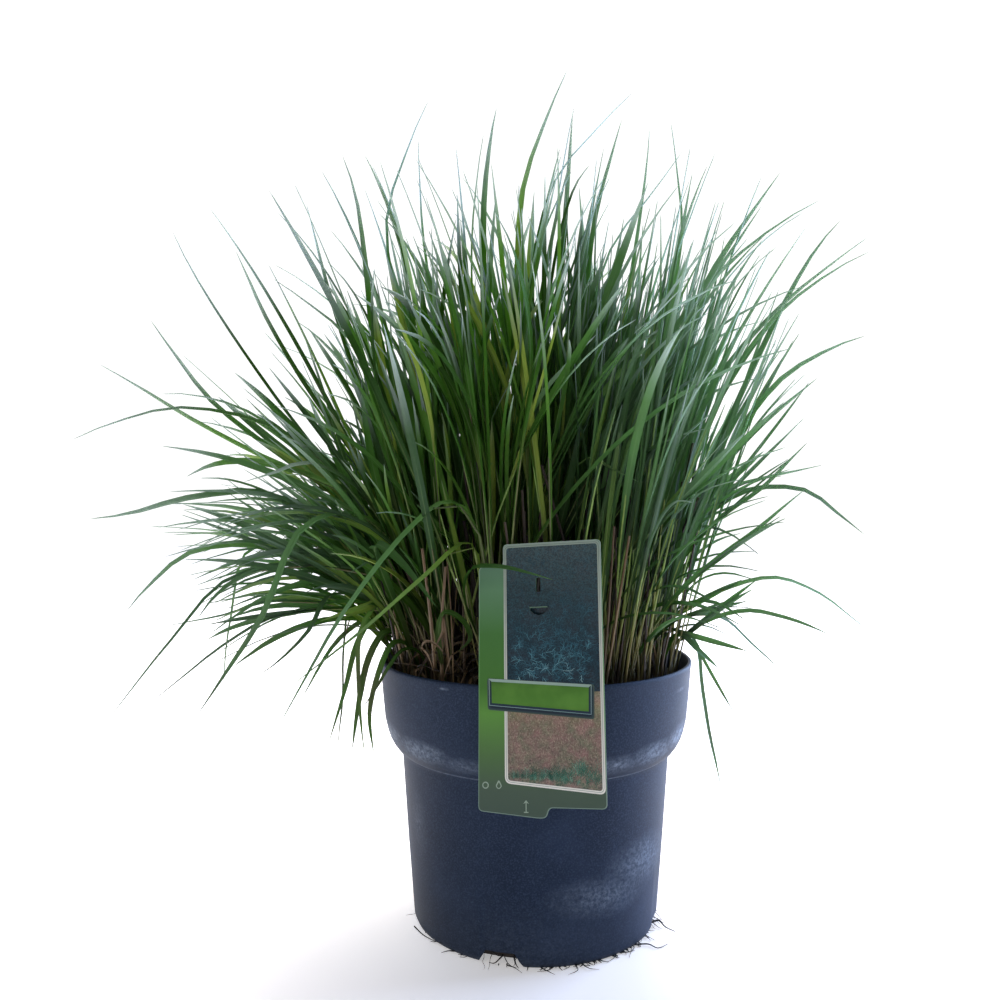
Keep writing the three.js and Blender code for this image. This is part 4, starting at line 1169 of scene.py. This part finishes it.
# These few leaves are listed one by one: width, tone and points in millimetres. The first five hang over the
# left rim, the next one over the right one, and the last two cross the stems in front.
PLACED_LEAVES = [
    (5.0, 0.6, [(-96, -15, 188), (-106, -20, 222), (-122, -26, 232), (-135, -30, 212), (-143, -33, 180),
        (-155, -35, 141)]),
    (5.8, 0.5, [(-90, -30, 188), (-99, -36, 218), (-112, -42, 224), (-124, -45, 204), (-131, -46, 172),
        (-136, -46, 138)]),
    (4.6, 0.72, [(-84, -44, 188), (-92, -50, 214), (-105, -56, 218), (-115, -60, 196), (-121, -61, 168),
        (-118, -62, 140)]),
    (3.0, 0.3, [(-76, -56, 188), (-84, -63, 212), (-96, -69, 216), (-106, -75, 204), (-113, -76, 192),
        (-124, -76, 176)]),
    (6.0, 0.4, [(-94, 14, 188), (-102, 16, 214), (-118, 18, 228), (-140, 20, 222), (-163, 20, 201),
        (-187, 22, 161)]),
    (5.0, 0.7, [(88, -42, 188), (96, -48, 216), (104, -54, 224), (114, -60, 215), (122, -61, 208),
        (129, -62, 202)]),
    (7.5, 0.3, [(-84, -40, 188), (-100, -62, 240), (-113, -86, 284), (-108, -99, 292), (-90, -106, 277),
        (-69, -110, 251)]),
    (4.5, 0.5, [(-64, -76, 188), (-69, -96, 225), (-65, -107, 247), (-53, -109, 243), (-47, -109, 231),
        (-55, -110, 222)]),
]
PLACED_STATIONS = [i / 5 for i in range(6)]


def placed_leaf(width, tone, corners, cuts, twist, fold):
    """A leaf along points in millimetres."""
    line = [Vector(corner) * MM for corner in corners]
    return blade(line, PLACED_STATIONS, cuts, width * MM, UP, LEAF_OPENING, twist, fold, tone)


young += [placed_leaf(*leaf, LONG_CUTS, 0.0, 0.4) for leaf in PLACED_LEAVES]
finish_piece(merged("young_leaves", young), "leaf", skin=leaf_skin, smooth=BLADE_SMOOTHING)

# ---------------------------------------------------------------- culms and dead straw
# Green culms fade to tan at the crown. Between them stand last year's stems, cut or snapped
# short, and curled dead leaves, most of them on the left.
STRAWS = 290
STRAW_REACH = 110
STRAW_FOOT = SOIL_TOP - 4
STRAW_SUNK = 0.012
STRAW_BASE = CROWN_TOP + 0.006
RIM_CLEARANCE = 0.1145
CURLS = 110
CURL_REACH = 112
CURL_STEPS = 6
SNAPPED_STEMS = [[(-72, -74, 186), (-80, -98, 290)], [(-67, -80, 186), (-64, -101, 278)]]
draw = random.Random(41)

straw_skin, shader, add = new_material("dry grass stem", {"Roughness": 0.6})
grain = add("Attribute", attribute_name="grain").outputs["Vector"]
axes = add("SeparateXYZ", {"Vector": grain})
place = add("TexCoord").outputs["Object"]
height = add("SeparateXYZ", {"Vector": place}).outputs["Z"]
drawn_out = add("Mapping", {"Vector": place, "Scale": (1, 1, 0.12)})
streaks = add("TexNoise", {"Vector": drawn_out, "Scale": 420.0, "Detail": 4.0})
dead = add(
    "ValToRGB", {"Fac": axes.outputs["X"]},
    [(0.0, "#1C1611"), (0.35, "#3E3020"), (0.7, "#6C563A"), (1.0, "#9A825C")],
)
up_the_stem = add("MapRange", {"Value": height, "From Min": 0.19, "From Max": 0.4})
alive = add(
    "ValToRGB", {"Fac": up_the_stem},
    [(0.0, "#57492C"), (0.14, "#76733A"), (0.4, "#84A046"), (1.0, "#5C8438")],
)
stem_colour = add("Mix", {"Factor": axes.outputs["Z"], "A": dead, "B": alive}, data_type="RGBA")
streak_share = add("MapRange", {"Value": streaks, "From Min": 0.4, "From Max": 0.75, "To Max": 0.55})
streaked = add("Mix", {"Factor": streak_share, "A": stem_colour, "B": linear("#2A2018")}, data_type="RGBA")
feed(straw_skin, shader, {"Base Color": streaked})


def straw(foot, top, radius, spread, green=0.0, tone=None):
    """A stem with a node at its middle."""
    middle = (foot + top) / 2 + Vector((spread.gauss(0, 1), spread.gauss(0, 1), 0)) * MM
    tone = spread.random() if tone is None else tone
    return tube(smooth_line([foot, middle, top], 6), radius, 0.75 * radius, 5, tone, green, knot=3)


def straws_of(name):
    """Foot and top of each straw of a packed tuft."""
    packed = packed_tuft(name)
    ends, seen = [], set()
    for vertex in packed.verts:
        if vertex in seen or vertex.co.z < STRAW_BASE:
            continue
        group, waiting = set(), [vertex]
        while waiting:
            here = waiting.pop()
            if here in group or here.co.z < STRAW_BASE:
                continue
            group.add(here)
            waiting += [edge.other_vert(here) for edge in here.link_edges]
        seen |= group
        below = {edge.other_vert(v) for v in group for edge in v.link_edges} - group
        if below:
            ends.append((middle_of(below), middle_of(group)))
    packed.free()
    return ends


stems = list(culm_lines)
dry_nodes = sorted(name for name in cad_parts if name.startswith("dry_tuft"))
for name in dry_nodes:
    for foot, top in straws_of(name):
        sunk = foot - (top - foot).normalized() * STRAW_SUNK
        stems.append(straw(sunk, top, draw.uniform(0.7, 1.15) * MM, draw))
for _ in range(STRAWS):
    radius, turn = STRAW_REACH * draw.random() ** 0.4, draw.random() * tau
    outward = polar(1, turn)
    foot = (outward * radius + UP * STRAW_FOOT) * MM
    tall = 24 + 125 * draw.random() ** 1.5
    lean = outward * draw.uniform(-0.05, 0.2)
    lean += Vector((draw.gauss(0, 0.09), draw.gauss(0, 0.09), 1))
    top = foot + lean * tall * MM
    before_label = top.y < -0.08 and -0.06 < top.x < 0.06
    at_rim = foot + lean * (POT_HEIGHT * MM - foot.z) / lean.z
    dry_share = 0.7 if foot.x < 0 else 0.2
    green = 0.0 if draw.random() < dry_share else draw.uniform(0.6, 1)
    if hypot(at_rim.x, at_rim.y) < RIM_CLEARANCE and not before_label:
        stems.append(straw(foot, top, draw.uniform(0.4, 0.9) * MM, draw, green))
# Dead stems and sheaths crowd the dark middle of the clump, and culms close the gaps between the stems on
# the right. Their dark tones are painted shade for the inside of the clump. The columns: how many, the
# middle and radius of their ring, their lean and its spread to the right, its spread to the back, least and
# most height, thickness and greenness.
for count, (x, y), reach, leaning, deep, heights, thickest, green in (
    (200, (0, 0), 78, (0, 0.16), 0.16, (0.06, 0.17), 1.7, 0.0),
    (130, (52, 10), 46, (0.1, 0.1), 0.12, (0.09, 0.19), 1.8, 0.16),
):
    for _ in range(count):
        radius, turn = reach * sqrt(draw.random()), draw.random() * tau
        foot = Vector((x + radius * cos(turn), y + radius * sin(turn), STRAW_FOOT)) * MM
        lean = Vector((draw.gauss(*leaning), draw.gauss(0, deep), 1))
        top = foot + lean * draw.uniform(*heights)
        # The low tones paint these stems dark, as painted shade inside the clump.
        thickness, tone = draw.uniform(0.9, thickest) * MM, 0.3 * draw.random()
        stems.append(straw(foot, top, thickness, draw, green, tone))
# Two tall snapped stems stand in front on the left.
for foot, top in SNAPPED_STEMS:
    stems.append(straw(Vector(foot) * MM, Vector(top) * MM, 1.25 * MM, draw, tone=0.68))
stem_piece = merged("culms_and_straw", stems)
finish_piece(stem_piece, "straw", *dry_nodes, skin=straw_skin, smooth=BLADE_SMOOTHING)

curled = []
for i in range(CURLS):
    radius, turn = draw.uniform(50, 106), draw.random() * tau
    if i % 2:
        turn = radians(draw.uniform(185, 262))
    place = polar(radius, turn, SOIL_TOP)
    if place.x > 25 and place.y < 0:
        continue
    heading = draw.random() * tau
    points = [place * MM]
    pitch = draw.uniform(0.9, 1.5)
    swing = draw.uniform(0.2, 0.9) * draw.choice((-1, 1))
    stride = draw.uniform(8, 19)
    for _ in range(CURL_STEPS):
        forward = polar(cos(pitch), heading, sin(pitch))
        place = place + forward * stride * draw.uniform(0.7, 1.2)
        if hypot(place.x, place.y) > CURL_REACH:
            place *= CURL_REACH / hypot(place.x, place.y)
        place.z = max(place.z, SOIL_TOP + 3)
        points.append(place * MM)
        pitch -= draw.uniform(0.1, 0.7)
        heading += swing
    curled.append(blade(
        points, LEAF_STATIONS, SHORT_CUTS, draw.uniform(1.2, 3.4) * MM, Vector((0.2, 0.1, 1)),
        LEAF_OPENING, draw.gauss(0, 3), 0.7, draw.random() ** 1.6,
    ))
# Two withered leaves hang from the front edge of the stems on the left.
for corners in (
    [(-62, -72, 188), (-64, -92, 222), (-66, -104, 246), (-65, -106, 236), (-69, -106, 227),
     (-73, -107, 220)],
    [(-70, -72, 188), (-76, -90, 214), (-80, -102, 223), (-76, -105, 228), (-70, -106, 226),
     (-65, -107, 221)],
):
    curled.append(placed_leaf(2.3, 0.62, corners, SHORT_CUTS, 1.0, 0.7))
dead_leaves = merged("dead_leaves", curled)
for value in dead_leaves.data.attributes["grain"].data:
    value.vector = (value.vector.z, 0, 0)
finish_piece(dead_leaves, "straw", skin=straw_skin, smooth=BLADE_SMOOTHING)

# ---------------------------------------------------------------- studio
# A plain pale floor that glows more the farther it lies from the pot, a soft surround that is
# brightest behind the plant, and large soft lamps to both sides. The camera stands a little above
# the rim of the pot.
CAMERA_PLACE = Vector((-0.0273, -0.741, 0.333))
CAMERA_PITCH = radians(0.9)
CAMERA_LENS = 34.2
FLOOR_SIZE = 9
GLOW_MIDDLE = Vector((0.04, -0.26, 0))

bpy.ops.mesh.primitive_plane_add(size=FLOOR_SIZE)
floor = bpy.context.active_object
floor.name = "studio_floor"
pale, shader, add = new_material("matt pale paint", {
    "Roughness": 0.9, "Base Color": linear("#F2E5E1"), "Emission Color": linear("#FFFFFF"),
})
spot = add("TexCoord").outputs["Object"]
away = add("VectorMath", {0: spot, 1: GLOW_MIDDLE}, operation="DISTANCE")
glow_out = add(
    "MapRange", {"Value": away, "From Min": 0.08, "From Max": 0.6, "To Min": 0.25, "To Max": 0.85}
)
feed(pale, shader, {"Emission Strength": glow_out})
floor.data.materials.append(pale)

world = bpy.data.worlds.new("studio")
bpy.context.scene.world = world
world.use_nodes = True
add = partial(add_node, world)
sky = add("TexCoord").outputs["Generated"]
axes = add("SeparateXYZ", {"Vector": sky}).outputs
to_right = add("Math", {0: axes["X"], 1: 0.15, 2: axes["Y"]}, operation="MULTIPLY_ADD")
backwards = add("MapRange", {"Value": to_right, "From Min": -1.0})
glow_back = add(
    "ValToRGB", {"Fac": backwards},
    [(0.0, "#444E5C"), (0.4, "#606E88"), (0.6, "#8898B6"), (0.8, "#94A4C4"), (0.83, "#B4C4DE"),
     (0.86, "#FFFFFF")],
)
feed(world, world.node_tree.nodes["Background"], {"Strength": 1.15, "Color": glow_back})

# Each soft lamp faces the plant's middle: its place, size, power and colour.
LAMP_TARGET = Vector((0, 0, 0.3))
for name, place, size, power, colour in (
    ("left_lamp", (-0.9, 0.7, 2.0), 1.2, 10, "#C8DCFF"),
    ("right_lamp", (1.5, 0.7, 0.6), 1.2, 74, "#BCD6FF"),
    ("top_lamp", (0.0, 0.7, 2.0), 1.4, 46, "#FFFCEA"),
    ("front_lamp", (-0.6, -1.5, 1.5), 1.2, 8, "#FFFBF0"),
):
    bpy.ops.object.light_add(type="AREA", location=place)
    lamp = bpy.context.active_object
    lamp.name = name
    lamp.data.size = size
    lamp.data.energy = power
    lamp.data.color = linear(colour)[:3]
    lamp.rotation_euler = (LAMP_TARGET - lamp.location).to_track_quat("-Z", "Y").to_euler()

bpy.ops.object.camera_add(location=CAMERA_PLACE, rotation=(radians(90) - CAMERA_PITCH, 0, 0))
camera = bpy.context.active_object
camera.data.lens = CAMERA_LENS
camera.data.sensor_width = 36
bpy.context.scene.camera = camera
bpy.context.scene.view_settings.view_transform = "Standard"
